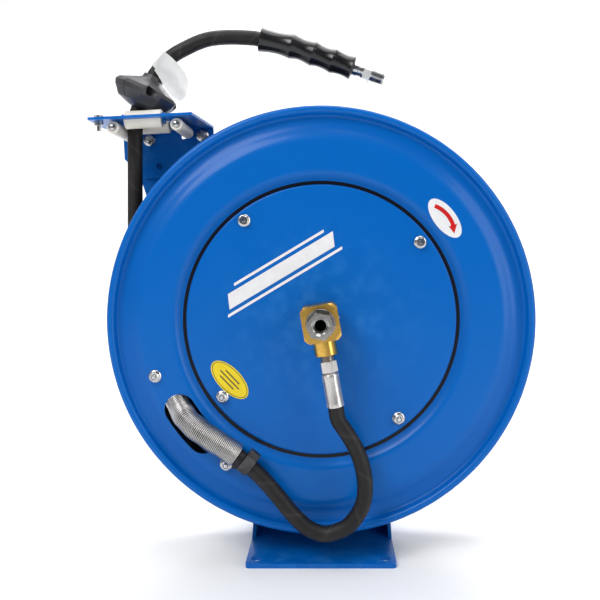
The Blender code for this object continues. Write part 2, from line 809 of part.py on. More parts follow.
def make_outlet():
    """Steel nipple and the hose's crimped ferrule below the swivel's brass outlet."""
    start = OUTLET_END - 0.0100
    nipple = ring_profile(0.0, 0.0075, start, OUTLET_END + GAP + 0.001)
    nipple = place_on_outlet(turned("outlet_nipple", nipple, ZINC, 12), 0.0)
    corner = 0.016 / math.sqrt(3.0)
    hexagon = ring_profile(0.0, corner, OUTLET_END + GAP, OUTLET_END + 0.0185)
    join(nipple, place_on_outlet(turned("nipple_hex_cutter", hexagon, None, 6), 0.0))
    start = OUTLET_END + 0.0188
    ferrule = [
        (0.0, start),
        (0.0088, start),
        (0.0096, start + 0.0010),
        (0.0096, start + 0.0370),
        (0.0090, start + 0.0380),
        (0.0, start + 0.0380),
    ]
    place_on_outlet(turned("hose_ferrule", ferrule, ZINC, 20), 0.0)


# Hose


def pigtail_points():
    down = outlet_direction()
    start = Vector((0.0, SWIVEL_CENTRE_Y, AXLE_HEIGHT)) + down * (FERRULE_END + GAP)
    route = [start]
    route += [Vector(point) for point in PIGTAIL_ROUTE + GUARD_ROUTE]
    route.append(Vector(PIGTAIL_END))
    return smooth_route(route, 0.018)


def make_pigtail():
    tube("hose_pigtail", pigtail_points(), HOSE_RADIUS, HOSE, 2)


def make_coil():
    """The wound hose's outer shape: a closed ring between the two discs."""
    low = DRUM_RADIUS + GAP
    high = DRUM_RADIUS + 2.0 * HOSE_RADIUS + (HOSE_LAYERS - 1) * HOSE_PITCH - 2.0 * GAP
    profile = ring_profile(low, high, -COIL_HALF_WIDTH, COIL_HALF_WIDTH)
    on_spool_axis(turned("hose_coil", profile, HOSE, 40))


def make_guard():
    """Wire spring guard around the hose where it passes through the disc's slot."""
    route = smooth_route([Vector(point) for point in GUARD_ROUTE], 0.009)
    radii = [GUARD_RADIUS] * len(route)
    sleeve_body("spring_guard", route, radii, HOSE_RADIUS + 0.0012, ZINC, 14)


def make_clamp():
    """P-clamp: a band around the hose and a flat ear under its bolt on the disc."""
    centre = Vector(CLAMP_CENTRE)
    along = (Vector(GUARD_ROUTE[0]) - Vector(PIGTAIL_ROUTE[-2])).normalized()
    inner = HOSE_RADIUS + 0.0010
    band = ring_profile(inner, inner + 0.0020, -0.0060, 0.0060)
    clamp = turned("hose_clamp", band, BLACK, 20)
    turn = Vector((0.0, 0.0, 1.0)).rotation_difference(along)
    clamp.matrix_world = Matrix.Translation(centre) @ turn.to_matrix().to_4x4()
    bolt = Vector((DISC_BOLTS[1][0], 0.0, DISC_BOLTS[1][1]))
    flat_along = Vector((along.x, 0.0, along.z)).normalized()
    toward = Vector((-flat_along.z, 0.0, flat_along.x))
    side = flat_along * 0.0055
    start = Vector((centre.x, 0.0, centre.z)) + toward * (inner + 0.0004)
    tip = toward * 0.0070
    ear = [
        start + side,
        start - side,
        bolt - side * 1.2,
        bolt + tip - side * 0.5,
        bolt + tip + side * 0.5,
        bolt + side * 1.2,
    ]
    low = LAND_FRONT + GAP
    join(clamp, spool_plate("clamp_ear_cutter", ear, low, low + CLAMP_BAND))
    thick = toward * 0.0014
    web = [start - side, start + side, start + side + thick, start - side + thick]
    join(clamp, spool_plate("clamp_web_cutter", web, low, -centre.y + 0.001))
    cut(clamp, y_hole("clamp_hole_cutter", 0.0034, bolt.x, bolt.z))


def lead_arc():
    """The outermost turn where it lies on the coil, up to the point where it leaves it."""
    radius = -LEAD_X
    points = []
    for i in range(LEAD_ARC_STEPS + 1):
        angle = LEAD_ARC_START + (math.pi - LEAD_ARC_START) * i / LEAD_ARC_STEPS
        z = AXLE_HEIGHT + radius * math.sin(angle)
        points.append(Vector((radius * math.cos(angle), 0.0, z)))
    return points


def make_lead():
    """The free end of the hose, from the coil through the rollers to the grip."""
    free = smooth_route([lead_arc()[-1]] + [Vector(point) for point in LEAD_ROUTE], 0.025)
    tube("hose_lead", lead_arc() + free[1:], HOSE_RADIUS, HOSE, 2)


def stop_frame():
    """The hose stop's place: its own Z axis along the hose, its seam a little to the left."""
    across = Vector((0.0, 1.0, 0.0))
    side = across.cross(STOP_AXIS).normalized()
    turn = Matrix((side, across, STOP_AXIS)).transposed().to_4x4()
    return Matrix.Translation(STOP_CENTRE) @ turn @ Matrix.Rotation(STOP_SEAM, 4, "Z")


def make_hose_stop():
    """Two moulded halves clamped around the hose; together they stop it at the rollers."""
    profile = [
        (0.0105, -0.0210),
        (0.0140, -0.0210),
        (0.0290, -0.0160),
        (0.0370, -0.0060),
        (0.0392, -0.0005),
        (0.0360, 0.0040),
        (0.0125, 0.0150),
        (0.0115, 0.0205),
        (0.0105, 0.0205),
    ]
    for name, sign in (("stop_half_left", -1.0), ("stop_half_right", 1.0)):
        half = turned(name, profile, BLACK, 16)
        half.matrix_world = stop_frame()
        low = (0.0002 if sign > 0 else -0.06, -0.06, -0.06)
        high = (0.06 if sign > 0 else -0.0002, 0.06, 0.06)
        keep = box("stop_half_cutter", low, high, None)
        keep.matrix_world = stop_frame()
        combine(half, keep, "INTERSECT")
        for y in (-STOP_SCREW_Y, STOP_SCREW_Y):
            hole = round_cutter("stop_hole_cutter", 0.0029, -0.06, 0.06, 10)
            hole.matrix_world = stop_frame() @ stop_screw_place(y)
            cut(half, hole)
            low_x, high_x = sorted((sign * 0.0120, sign * 0.0600))
            sink = round_cutter("stop_sink_cutter", 0.0056, low_x, high_x, 10)
            sink.matrix_world = stop_frame() @ stop_screw_place(y)
            cut(half, sink)


def stop_screw_place(y):
    turn = Matrix.Rotation(math.radians(90.0), 4, "Y")
    return Matrix.Translation((0.0, y, 0.0)) @ turn


def make_tag():
    """Blank vinyl tag: a band wrapped round the hose above the stop, and its hanging flag."""
    route = smooth_route([Vector(point) for point in TAG_ROUTE], 0.010)
    radii = [HOSE_RADIUS + 0.0022] * len(route)
    tag = sleeve_body("hose_tag", route, radii, HOSE_RADIUS + 0.0011, PAPER, 14)
    flag = [
        (-0.1866, 0.5811),
        (-0.1747, 0.5728),
        (-0.1604, 0.5561),
        (-0.1557, 0.5407),
        (-0.1581, 0.5264),
        (-0.1652, 0.5215),
        (-0.1780, 0.5310),
        (-0.1890, 0.5475),
        (-0.1965, 0.5590),
    ]
    front = -(HOSE_RADIUS + 0.0026)
    join(tag, plate_facing_front("tag_flag_cutter", flag, front, front + 0.0012, None))


def make_grip():
    """Moulded rubber grip with finger waves, butted on the end of the hose."""
    route = smooth_route([Vector(point) for point in GRIP_ROUTE], 0.0075)
    count = len(route)
    radii = []
    for i in range(count):
        wave = math.cos(2.0 * math.pi * 4.0 * i / (count - 1))
        radii.append(0.0135 + 0.0010 * wave)
    grip = sleeve_body("hose_grip", route[1:], radii[1:], 0.0060, BLACK, 14)
    return grip


def make_end_fitting():
    """Collar, hexagon and male thread at the end of the hose."""
    start = Vector(GRIP_ROUTE[-1])
    along = Vector((math.cos(math.radians(20.0)), 0.0, -math.sin(math.radians(20.0))))
    profile = [
        (0.0, 0.0006),
        (0.0078, 0.0006),
        (0.0078, 0.0130),
        (0.0103, 0.0134),
        (0.0103, 0.0220),
        (0.0083, 0.0224),
        (0.0083, 0.0375),
        (0.0074, 0.0385),
        (0.0, 0.0385),
    ]
    fitting = turned("end_fitting", profile, ZINC, 16)
    turn = Vector((0.0, 0.0, 1.0)).rotation_difference(along)
    fitting.matrix_world = Matrix.Translation(start) @ turn.to_matrix().to_4x4()


def hex_nut(name, across_flats, bore, low, high, finish, phase=0.0):
    """A hexagonal nut with a round bore along the object's own Z axis."""
    corner = across_flats / math.sqrt(3.0)
    nut = turned(name, ring_profile(0.0, corner, low, high), finish, 6, phase)
    hole = round_cutter(name + "_bore_cutter", bore, low - 0.01, high + 0.01, 20)
    return nut, hole


def plate_facing_front(name, outline, front, back, finish):
    """A flat plate from an outline of world (x, z) points, between two depths."""
    flat = [(x, -z) for x, z in outline]
    plate = prism(name, flat, 0.0, back - front, finish)
    plate.rotation_euler = (math.radians(-90.0), 0.0, 0.0)
    plate.location = (0.0, front, 0.0)
    return plate


def make_arm_bolts():
    """Low-headed bolts: the head in front clears the ratchet wheel, the flanged nut is behind."""
    front = -(ARM_FRONT - GAP)
    back = -(UPRIGHT_FRONT + UPRIGHT_THICK + GAP)
    profile = [
        (0.0, back - 0.0085),
        (0.0040, back - 0.0085),
        (0.0040, back - 0.0066),
        (0.0062, back - 0.0062),
        (0.0065, back - 0.0015),
        (0.0078, back - 0.0012),
        (0.0078, back),
        (0.0040, back),
        (0.0040, front),
        (0.0075, front),
        (0.0060, front + 0.0020),
        (0.0, front + 0.0026),
    ]
    for i, (x, z) in enumerate(ARM_BOLTS):
        bolt = turned("arm_bolt_%d" % (i + 1), profile, ZINC, 12)
        facing_front(bolt, x, 0.0, z)


def make_guide_frame():
    """The roller guide's own frame, tilted a little: its pieces are placed in it."""
    frame = bpy.data.objects.new("guide_frame", None)
    bpy.context.scene.collection.objects.link(frame)
    frame.location = (GUIDE_X, 0.0, GUIDE_HEIGHT)
    frame.rotation_euler = (0.0, GUIDE_TILT, 0.0)


def on_guide(obj, x, y, z, axis="Z"):
    """Puts an object in the guide's frame with its own Z axis along the frame's X, Y or Z."""
    obj.parent = bpy.data.objects["guide_frame"]
    obj.location = (x, y, z)
    quarter = math.radians(90.0)
    obj.rotation_euler = {"X": (0.0, quarter, 0.0), "Y": (quarter, 0.0, 0.0), "Z": (0.0, 0.0, 0.0)}[axis]
    return obj


def make_guide_plate():
    """Bent sheet: a flat top with the hose window, a flange down at the back, and four pin ears."""
    half = GUIDE_SHEET / 2.0
    back = GUIDE_BACK
    outline = [
        (-0.0617, -0.0425),
        (0.0563, -0.0425),
        (0.0650, back),
        (-0.0490, back),
        (-0.0617, 0.0200),
    ]
    plate = on_guide(prism("guide_plate", outline, -half, half, BLUE), 0.0, 0.0, 0.0)
    flange = [
        (-0.0490, half - 0.0005),
        (0.0650, half - 0.0005),
        (0.0650, -0.0560),
        (0.0600, -0.0610),
        (-0.0250, -0.0610),
        (-0.0490, -0.0350),
    ]
    flat = [(x, -z) for x, z in flange]
    flange = prism("guide_flange_cutter", flat, 0.0, GUIDE_FLANGE, None)
    on_guide(flange, 0.0, back - GUIDE_FLANGE, 0.0)
    flange.rotation_euler = (math.radians(-90.0), 0.0, 0.0)
    join(plate, flange)
    window = [
        (-0.0255, -0.0330),
        (0.0195, -0.0330),
        (0.0195, -0.0100),
        (0.0300, -0.0100),
        (0.0300, 0.0100),
        (0.0195, 0.0100),
        (0.0195, 0.0330),
        (-0.0255, 0.0330),
        (-0.0255, 0.0100),
        (-0.0300, 0.0100),
        (-0.0300, -0.0100),
        (-0.0255, -0.0100),
    ]
    cut(plate, on_guide(prism("window_cutter", window, -0.02, 0.02, None), 0.0, 0.0, 0.0))
    for low_x in (-0.0275, 0.0195):
        for y in (-CROSS_ROLLER_Y, CROSS_ROLLER_Y):
            low = (low_x, y - 0.005, -0.006)
            high = (low_x + 0.002, y + 0.005, 0.006)
            join(plate, on_guide(box("ear_cutter", low, high, None), 0.0, 0.0, 0.0))
            hole = round_cutter("pin_hole_cutter", PIN_RADIUS + GAP, -0.0018, 0.0020, 10)
            inner = -0.0255 if low_x < 0.0 else 0.0195
            cut(plate, on_guide(hole, inner, y, 0.0, "X"))
    for x, z in GUIDE_BOLTS + GUIDE_HOLES:
        hole = round_cutter("guide_hole_cutter", 0.0043, -0.07, 0.0)
        cut(plate, on_guide(hole, x, 0.0, z, "Y"))
    for x in (-SIDE_ROLLER_X, SIDE_ROLLER_X):
        hole = round_cutter("side_pin_hole_cutter", PIN_RADIUS + GAP, -0.07, 0.0, 10)
        cut(plate, on_guide(hole, x, 0.0, SIDE_ROLLER_Z, "Y"))
    keeper = round_cutter("keeper_hole_cutter", 0.0028, -0.02, 0.02, 10)
    cut(plate, on_guide(keeper, KEEPER_X, KEEPER_Y, 0.0))


def make_guide_bolts():
    """Bolts through the guide's flange and the arm: a washer and a flanged nut in front."""
    front = -(GUIDE_BACK - GUIDE_FLANGE - GAP)
    back = -(ARM_BACK + GAP)
    profile = [
        (0.0, back - 0.0045),
        (0.0065, back - 0.0045),
        (0.0065, back),
        (0.0040, back),
        (0.0040, front),
        (0.0078, front),
        (0.0078, front + 0.0015),
        (0.0062, front + 0.0018),
        (0.0058, front + 0.0062),
        (0.0040, front + 0.0066),
        (0.0040, front + 0.0085),
        (0.0, front + 0.0085),
    ]
    for name, (x, z) in zip(("guide_bolt_left", "guide_bolt_right"), GUIDE_BOLTS):
        on_guide(turned(name, profile, ZINC, 12), x, 0.0, z, "Y")


def make_pawl_pin():
    """Riveted pin that carries the pawl on the upright."""
    half = RATCHET_THICK / 2.0 - 0.0002
    back = -(UPRIGHT_FRONT + UPRIGHT_THICK)
    profile = [
        (0.0, back - 0.0040),
        (0.0065, back - 0.0040),
        (0.0065, back - GAP),
        (0.0039, back - GAP),
        (0.0039, -(UPRIGHT_FRONT - GAP)),
        (0.0060, -(UPRIGHT_FRONT - GAP)),
        (0.0060, -(RATCHET_Y + half + 0.0012)),
        (0.0039, -(RATCHET_Y + half + 0.0012)),
        (0.0039, -(RATCHET_Y - half - GAP)),
        (0.0060, -(RATCHET_Y - half - GAP)),
        (0.0060, -(RATCHET_Y - half - 0.0020)),
        (0.0, -(RATCHET_Y - half - 0.0020)),
    ]
    facing_front(turned("pawl_pin", profile, ZINC, 16), PAWL_PIVOT[0], 0.0, PAWL_PIVOT[2])


def make_swivel_rings():
    """The stem's seal in its groove, and the ring that keeps the stem in the body."""
    front = -SWIVEL_CENTRE_Y + SWIVEL_HALF
    back = -SWIVEL_CENTRE_Y - SWIVEL_HALF + 0.009
    seal = ring_profile(0.0099, 0.0117, back + 0.0085, back + 0.0105)
    on_spool_axis(turned("stem_seal", seal, BLACK, 20))
    keeper = ring_profile(0.0114, 0.0160, front + GAP, front + 0.0017)
    on_spool_axis(turned("retaining_ring", keeper, STEEL, 20))


def sleeve_body(name, route, radii, inner, finish, sides=16):
    """A tube of changing outer radius around a route, open at both ends."""
    bm = bmesh.new()
    rings = []
    count = len(route)
    up = Vector((0.0, 1.0, 0.0))
    for i, point in enumerate(route):
        along = (route[min(count - 1, i + 1)] - route[max(0, i - 1)]).normalized()
        side = along.cross(up).normalized()
        over = side.cross(along).normalized()
        ring = []
        for radius in (radii[i], inner):
            shell = []
            for k in range(sides):
                angle = 2.0 * math.pi * k / sides
                offset = (side * math.cos(angle) + over * math.sin(angle)) * radius
                shell.append(bm.verts.new(point + offset))
            ring.append(shell)
        rings.append(ring)
    for here, there in zip(rings, rings[1:]):
        for shell in (0, 1):
            for k in range(sides):
                n = (k + 1) % sides
                bm.faces.new((here[shell][k], here[shell][n], there[shell][n], there[shell][k]))
    for ring in (rings[0], rings[-1]):
        for k in range(sides):
            n = (k + 1) % sides
            bm.faces.new((ring[0][k], ring[0][n], ring[1][n], ring[1][k]))
    return add(name, finish_mesh(bm, name), finish)


def spool_plate(name, corners, low, high):
    """A flat piece from world corners, between two distances in front of the spool's middle."""
    outline = [(corner.x, corner.z - AXLE_HEIGHT) for corner in corners]
    return on_spool_axis(prism(name, outline, low, high, None))


def make_stop_screws():
    profile = [
        (0.0, -0.0150),
        (0.0050, -0.0150),
        (0.0050, -0.0120 - GAP),
        (0.0026, -0.0120 - GAP),
        (0.0026, 0.0120 + GAP),
        (0.0050, 0.0120 + GAP),
        (0.0050, 0.0150),
        (0.0, 0.0150),
    ]
    for name, y in (("stop_screw_front", -STOP_SCREW_Y), ("stop_screw_back", STOP_SCREW_Y)):
        screw = turned(name, profile, ZINC, 10)
        screw.matrix_world = stop_frame() @ stop_screw_place(y)


def build():
    make_foot()
    make_upright()
    make_axle()
    make_axle_nut()
    make_guide_frame()
    make_guide_arm()
    make_arm_bolts()
    make_guide_plate()
    make_guide_bolts()
    make_keeper_bolt()
    make_rollers()
    make_front_disc()
    make_disc("back_disc", False)
    make_drum()
    make_cover()
    make_back_wall()
    make_bushes()
    make_arbor()
    make_mainspring()
    make_ratchet()
    make_pawl()
    make_pawl_pin()
    make_pawl_spring()
    make_cover_nuts()
    make_disc_bolts()
    make_swivel()
    make_stem()
    make_swivel_rings()
    make_outlet()
    make_pigtail()
    make_coil()
    make_guard()
    make_clamp()
    make_lead()
    make_hose_stop()
    make_stop_screws()
    make_tag()
    make_grip()
    make_end_fitting()


build()
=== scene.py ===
"""Looks of the spring-rewind hose reel: pressed discs, wound hose, brass swivel, roller guide."""

from math import ceil, cos, pi, radians, sin

import bmesh
import bpy
from mathutils import Matrix, Vector


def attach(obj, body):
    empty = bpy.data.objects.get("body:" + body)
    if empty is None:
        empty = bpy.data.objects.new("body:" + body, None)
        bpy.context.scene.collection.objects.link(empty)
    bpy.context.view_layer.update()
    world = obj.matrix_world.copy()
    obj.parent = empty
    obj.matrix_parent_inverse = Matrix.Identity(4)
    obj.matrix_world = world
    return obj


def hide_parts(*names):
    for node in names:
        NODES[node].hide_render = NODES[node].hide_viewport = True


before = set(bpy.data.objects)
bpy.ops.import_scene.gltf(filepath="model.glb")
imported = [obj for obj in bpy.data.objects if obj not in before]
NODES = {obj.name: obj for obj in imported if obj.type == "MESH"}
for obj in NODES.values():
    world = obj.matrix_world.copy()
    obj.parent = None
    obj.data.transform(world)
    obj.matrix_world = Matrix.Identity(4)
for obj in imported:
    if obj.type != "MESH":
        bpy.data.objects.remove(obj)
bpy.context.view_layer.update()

# Sizes in metres, in the frame of the CAD
AXLE_HEIGHT = 0.27
HOSE_RADIUS = 0.0087
HOSE_PITCH = 0.0178
DRUM_RADIUS = 0.1608
SHEET = 0.0016
LAND_FRONT = 0.0495
COVER_FRONT = 0.0455
COVER_RADIUS = 0.1525
NUT_RADIUS = 0.1415
NUT_ANGLE = radians(38.0)
DISC_BOLTS = ((-0.1865, AXLE_HEIGHT - 0.0634), (-0.1063, AXLE_HEIGHT - 0.1616))
SLOT_RADIUS = 0.188
SLOT_HALF_WIDTH = 0.0175
SLOT_START = radians(212.5)
SLOT_END = radians(225.0)
SWIVEL_Y = -0.0755
SWIVEL_HALF = 0.02
SWIVEL_TURN = radians(10.0)
STEM_TURN = radians(50.0)
NIPPLE_TURN = radians(20.0)
OUTLET_END = 0.0365
FERRULE_END = OUTLET_END + 0.0568
FLANGE_FRONT = 0.0547
ARM_BACK = 0.0626
GAP = 0.0003

CAMERA_AT = (0.012, -0.8705, 0.3516)
LENS = 43.92
SHIFT = (-0.0533, -0.0883)

TO_FRONT = Matrix.Rotation(radians(90.0), 4, "X")
TO_SIDE = Matrix.Rotation(radians(90.0), 4, "Y")
SPOOL = Matrix.Translation((0.0, 0.0, AXLE_HEIGHT)) @ TO_FRONT
GUIDE = Matrix.Translation((-0.203, 0.0, 0.5)) @ Matrix.Rotation(radians(-3.0), 4, "Y")
STOP_CENTRE = Vector((-0.2082, 0.0, 0.5352))
STOP_AXIS = Vector((sin(radians(25.0)), 0.0, cos(radians(25.0))))
STOP_SEAM = radians(-29.0)


# Camera


def make_camera():
    data = bpy.data.cameras.new("camera")
    data.lens = LENS
    data.sensor_width = 36.0
    data.shift_x, data.shift_y = SHIFT
    camera = bpy.data.objects.new("camera", data)
    camera.location = CAMERA_AT
    camera.rotation_euler = (radians(90.0), 0.0, 0.0)
    bpy.context.scene.collection.objects.link(camera)
    bpy.context.scene.camera = camera


# Node materials


class Nodes:
    """A small helper that adds and links shader nodes."""

    def __init__(self, name):
        self.material = bpy.data.materials.new(name)
        self.material.use_nodes = True
        self.tree = self.material.node_tree
        self.shader = self.tree.nodes["Principled BSDF"]
        self.coordinates = self.tree.nodes.new("ShaderNodeTexCoord").outputs

    def feed(self, socket, value):
        """Links a socket to another node's output, or sets its value."""
        if isinstance(value, bpy.types.NodeSocket):
            self.tree.links.new(value, socket)
        else:
            socket.default_value = value

    def add(self, kind, **inputs):
        node = self.tree.nodes.new(kind)
        for key, value in inputs.items():
            self.feed(node.inputs[key.replace("_", " ")], value)
        return node

    def set(self, **inputs):
        for key, value in inputs.items():
            self.feed(self.shader.inputs[key.replace("_", " ")], value)

    def noise(self, scale, detail=3.0, rough=0.5, stretch=None):
        """Noise over the object's own coordinates, which may be stretched along each axis."""
        place = self.coordinates["Object"]
        if stretch is not None:
            place = self.add("ShaderNodeMapping", Vector=place, Scale=stretch).outputs["Vector"]
        node = self.add("ShaderNodeTexNoise", Vector=place, Scale=scale, Detail=detail)
        self.feed(node.inputs["Roughness"], rough)
        return node.outputs["Fac"]

    def ramp(self, value, low, high, start=0.0, end=1.0):
        node = self.add("ShaderNodeMapRange", Value=value)
        node.inputs["From Min"].default_value = low
        node.inputs["From Max"].default_value = high
        node.inputs["To Min"].default_value = start
        node.inputs["To Max"].default_value = end
        node.clamp = True
        return node.outputs["Result"]

    def mix(self, share, first, second):
        node = self.tree.nodes.new("ShaderNodeMix")
        node.data_type = "RGBA"
        for index, value in ((0, share), (6, first), (7, second)):
            if isinstance(value, (tuple, list)):
                value = (*value, 1.0)
            self.feed(node.inputs[index], value)
        return node.outputs[2]

    def math(self, operation, first, second=0.0):
        node = self.tree.nodes.new("ShaderNodeMath")
        node.operation = operation
        for socket, value in zip(node.inputs, (first, second)):
            self.feed(socket, value)
        return node.outputs[0]

    def times(self, first, second):
        return self.math("MULTIPLY", first, second)

    def bump(self, height, strength, distance):
        node = self.add("ShaderNodeBump", Height=height, Strength=strength, Distance=distance)
        self.set(Normal=node.outputs["Normal"])

    def edges(self, low=0.52, high=0.58):
        node = self.add("ShaderNodeNewGeometry")
        return self.ramp(node.outputs["Pointiness"], low, high)

    def radius(self):
        """Distance from the spool's axis."""
        parts = self.add("ShaderNodeSeparateXYZ", Vector=self.coordinates["Object"])
        x = parts.outputs["X"]
        z = self.math("SUBTRACT", parts.outputs["Z"], AXLE_HEIGHT)
        return self.math("SQRT", self.math("ADD", self.times(x, x), self.times(z, z)))


def painted(name, colour, deep, shadow_ring=None):
    """Powder coat: faint orange peel and cloudy tone, fine specks, soft wear on the edges.

    The last argument gives the inner and outer radius of a ring about the spool's axis, painted
    near black as painted shade for the deep gap around the front cover."""
    n = Nodes(name)
    cloudy = n.noise(7.0, 4.0, 0.55)
    base = n.mix(n.ramp(cloudy, 0.35, 0.7), colour, deep)
    speck = n.ramp(n.noise(900.0, 2.0), 0.7, 0.8, 0.0, 0.35)
    base = n.mix(speck, base, [min(1.0, c * 1.4 + 0.01) for c in colour])
    worn = n.times(n.edges(0.53, 0.62), n.ramp(n.noise(60.0, 4.0), 0.45, 0.65))
    base = n.mix(n.times(worn, 0.35), base, (0.05, 0.24, 0.62))
    # Painted shade: a near-black ring on the disc, standing in for the shadow in the deep gap
    # around the front cover.
    if shadow_ring is not None:
        low, high = shadow_ring
        past_low = n.ramp(n.radius(), low, low + 0.0006)
        short_of_high = n.ramp(n.radius(), high, high - 0.0008)
        painted_shadow_mask = n.times(past_low, short_of_high)
        base = n.mix(painted_shadow_mask, base, (0.004, 0.005, 0.01))
    n.set(Base_Color=base, Metallic=0.0)
    n.set(Roughness=n.ramp(n.noise(35.0, 3.0), 0.3, 0.7, 0.29, 0.32))
    n.shader.inputs["Specular IOR Level"].default_value = 0.16
    n.shader.inputs["Coat Weight"].default_value = 0.08
    n.shader.inputs["Coat Roughness"].default_value = 0.1
    n.bump(n.noise(420.0, 2.0), 0.1, 0.0002)
    return n.material


def plated(name, colour, tint, rough=(0.18, 0.36), stretch=(1.0, 1.0, 1.0), scale=260.0):
    """Plated or turned metal: dark brushed streaks, a faint tint, paler edges."""
    n = Nodes(name)
    streak = n.noise(scale, 4.0, 0.6, stretch)
    tone = n.noise(45.0, 3.0)
    base = n.mix(n.ramp(tone, 0.35, 0.68), colour, tint)
    base = n.mix(n.ramp(streak, 0.55, 0.75, 0.0, 0.3), base, [c * 0.62 for c in colour])
    pale = [min(1.0, c * 1.18) for c in colour]
    base = n.mix(n.times(n.edges(0.52, 0.6), 0.45), base, pale)
    n.set(Base_Color=base, Metallic=1.0)
    n.set(Roughness=n.ramp(streak, 0.3, 0.7, rough[0], rough[1]))
    n.bump(streak, 0.12, 0.0002)
    return n.material


def moulded(name, colour, pale, rough=(0.42, 0.58), grain=700.0, strength=0.25):
    """Moulded plastic or rubber: fine grain, scuffed edges."""
    n = Nodes(name)
    base = n.mix(n.ramp(n.noise(25.0, 4.0), 0.35, 0.7), colour, pale)
    scuff = n.times(n.edges(0.52, 0.6), n.ramp(n.noise(130.0, 4.0), 0.4, 0.62))
    base = n.mix(n.times(scuff, 0.5), base, [min(1.0, c * 2.2 + 0.03) for c in pale])
    n.set(Base_Color=base, Metallic=0.0)
    n.set(Roughness=n.ramp(n.noise(90.0, 3.0), 0.3, 0.7, rough[0], rough[1]))
    n.bump(n.noise(grain, 3.0), strength, 0.0002)
    return n.material


def hose_rubber():
    """Rubber cured in wrapped cloth: faint slanting bands and weave, in the tube's UVs."""
    n = Nodes("hose_cover")
    parts = n.add("ShaderNodeSeparateXYZ", Vector=n.coordinates["UV"])
    around = parts.outputs["X"]
    along = parts.outputs["Y"]
    band = n.math("FRACT", n.math("ADD", n.times(along, 22.0), around))
    seam = n.math("ADD", n.ramp(band, 0.05, 0.0), n.ramp(band, 0.93, 1.0))
    weave_u = n.math("SINE", n.times(around, 2.0 * pi * 46.0))
    weave_v = n.math("SINE", n.times(along, 2.0 * pi * 900.0))
    weave = n.times(weave_u, weave_v)
    brown = n.ramp(n.noise(38.0, 5.0, 0.6), 0.38, 0.72)
    base = n.mix(brown, (0.007, 0.0066, 0.0066), (0.017, 0.0135, 0.012))
    base = n.mix(n.times(seam, 0.35), base, (0.055, 0.045, 0.04))
    dust = n.ramp(n.noise(240.0, 4.0, 0.7), 0.6, 0.8, 0.0, 0.3)
    base = n.mix(dust, base, (0.045, 0.039, 0.036))
    n.set(Base_Color=base, Metallic=0.0)
    n.set(Roughness=n.ramp(n.noise(110.0, 3.0), 0.3, 0.7, 0.42, 0.58))
    n.shader.inputs["Specular IOR Level"].default_value = 0.32
    height = n.math("ADD", n.times(weave, 0.25), n.times(seam, 0.7))
    n.bump(height, 0.35, 0.0003)
    return n.material


def brass():
    """Machined brass: turning marks, warm patches and pale edges."""
    n = Nodes("swivel_brass")
    marks = n.noise(170.0, 4.0, 0.6, (6.0, 1.0, 1.0))
    patch = n.noise(70.0, 4.0, 0.6)
    base = n.mix(n.ramp(patch, 0.36, 0.66), (0.58, 0.29, 0.025), (0.36, 0.14, 0.012))
    base = n.mix(n.ramp(marks, 0.55, 0.78, 0.0, 0.35), base, (0.62, 0.34, 0.05))
    base = n.mix(n.times(n.edges(0.52, 0.6), 0.6), base, (0.78, 0.52, 0.14))
    n.set(Base_Color=base, Metallic=1.0)
    n.set(Roughness=n.ramp(patch, 0.3, 0.7, 0.2, 0.36))
    n.bump(marks, 0.15, 0.0002)
    return n.material


def printed(name, colour, pale):
    """Printed vinyl: even colour with slight mottling and a soft gloss."""
    n = Nodes(name)
    base = n.mix(n.ramp(n.noise(90.0, 3.0), 0.35, 0.7), colour, pale)
    n.set(Base_Color=base, Roughness=n.ramp(n.noise(160.0, 2.0), 0.3, 0.7, 0.3, 0.42))
    n.bump(n.noise(500.0, 2.0), 0.08, 0.0001)
    return n.material


def floor_finish():
    n = Nodes("floor")
    base = n.mix(n.ramp(n.noise(1.2, 2.0), 0.3, 0.7), (0.86, 0.86, 0.87), (0.9, 0.9, 0.9))
    n.set(Base_Color=base, Roughness=n.ramp(n.noise(4.0, 2.0), 0.3, 0.7, 0.45, 0.6))
    return n.material


BLUES = ((0.0, 0.112, 0.44), (0.0, 0.11, 0.433))
BLUE = painted("powder_coat", *BLUES)
# The discs' finish: the same powder coat, with a near-black ring of painted shade where the gap
# around the front cover lies in shadow.
BLUE_DISC = painted("powder_coat_disc_gap_shade", *BLUES, shadow_ring=(0.15, 0.1572))
ZINC = plated("zinc_plate", (0.56, 0.56, 0.55), (0.46, 0.47, 0.49), (0.12, 0.28))
STEEL = plated("turned_steel", (0.42, 0.41, 0.39), (0.32, 0.31, 0.3), (0.12, 0.26))
CRIMP = plated(
    "crimped_steel", (0.6, 0.58, 0.56), (0.48, 0.46, 0.45), (0.24, 0.4), (8.0, 8.0, 1.0), 90.0
)
DARK_STEEL = plated("spring_steel", (0.2, 0.21, 0.23), (0.15, 0.15, 0.17), (0.25, 0.4))
BRONZE = plated("sintered_bronze", (0.42, 0.28, 0.13), (0.34, 0.22, 0.11), (0.35, 0.5))
BRASS = brass()
RUBBER = hose_rubber()
BLACK = moulded("black_plastic", (0.012, 0.012, 0.013), (0.022, 0.022, 0.024))
STOP_GREY = moulded("stop_plastic", (0.026, 0.026, 0.029), (0.04, 0.04, 0.045), (0.3, 0.46))
GRIP_BLACK = moulded(
    "grip_rubber", (0.006, 0.006, 0.007), (0.012, 0.012, 0.013), (0.14, 0.26), 900.0, 0.08
)
NYLON = moulded("turned_nylon", (0.8, 0.77, 0.69), (0.7, 0.66, 0.57), (0.38, 0.52), 500.0, 0.12)
VINYL = printed("tag_vinyl", (0.62, 0.62, 0.61), (0.54, 0.54, 0.54))
WHITE_INK = printed("white_ink", (0.76, 0.76, 0.77), (0.7, 0.7, 0.71))
YELLOW_INK = printed("yellow_ink", (0.8, 0.62, 0.005), (0.74, 0.56, 0.005))
RED_INK = printed("red_ink", (0.58, 0.004, 0.004), (0.5, 0.004, 0.004))
DARK_INK = printed("dark_ink", (0.05, 0.045, 0.02), (0.07, 0.06, 0.03))


# Mesh building


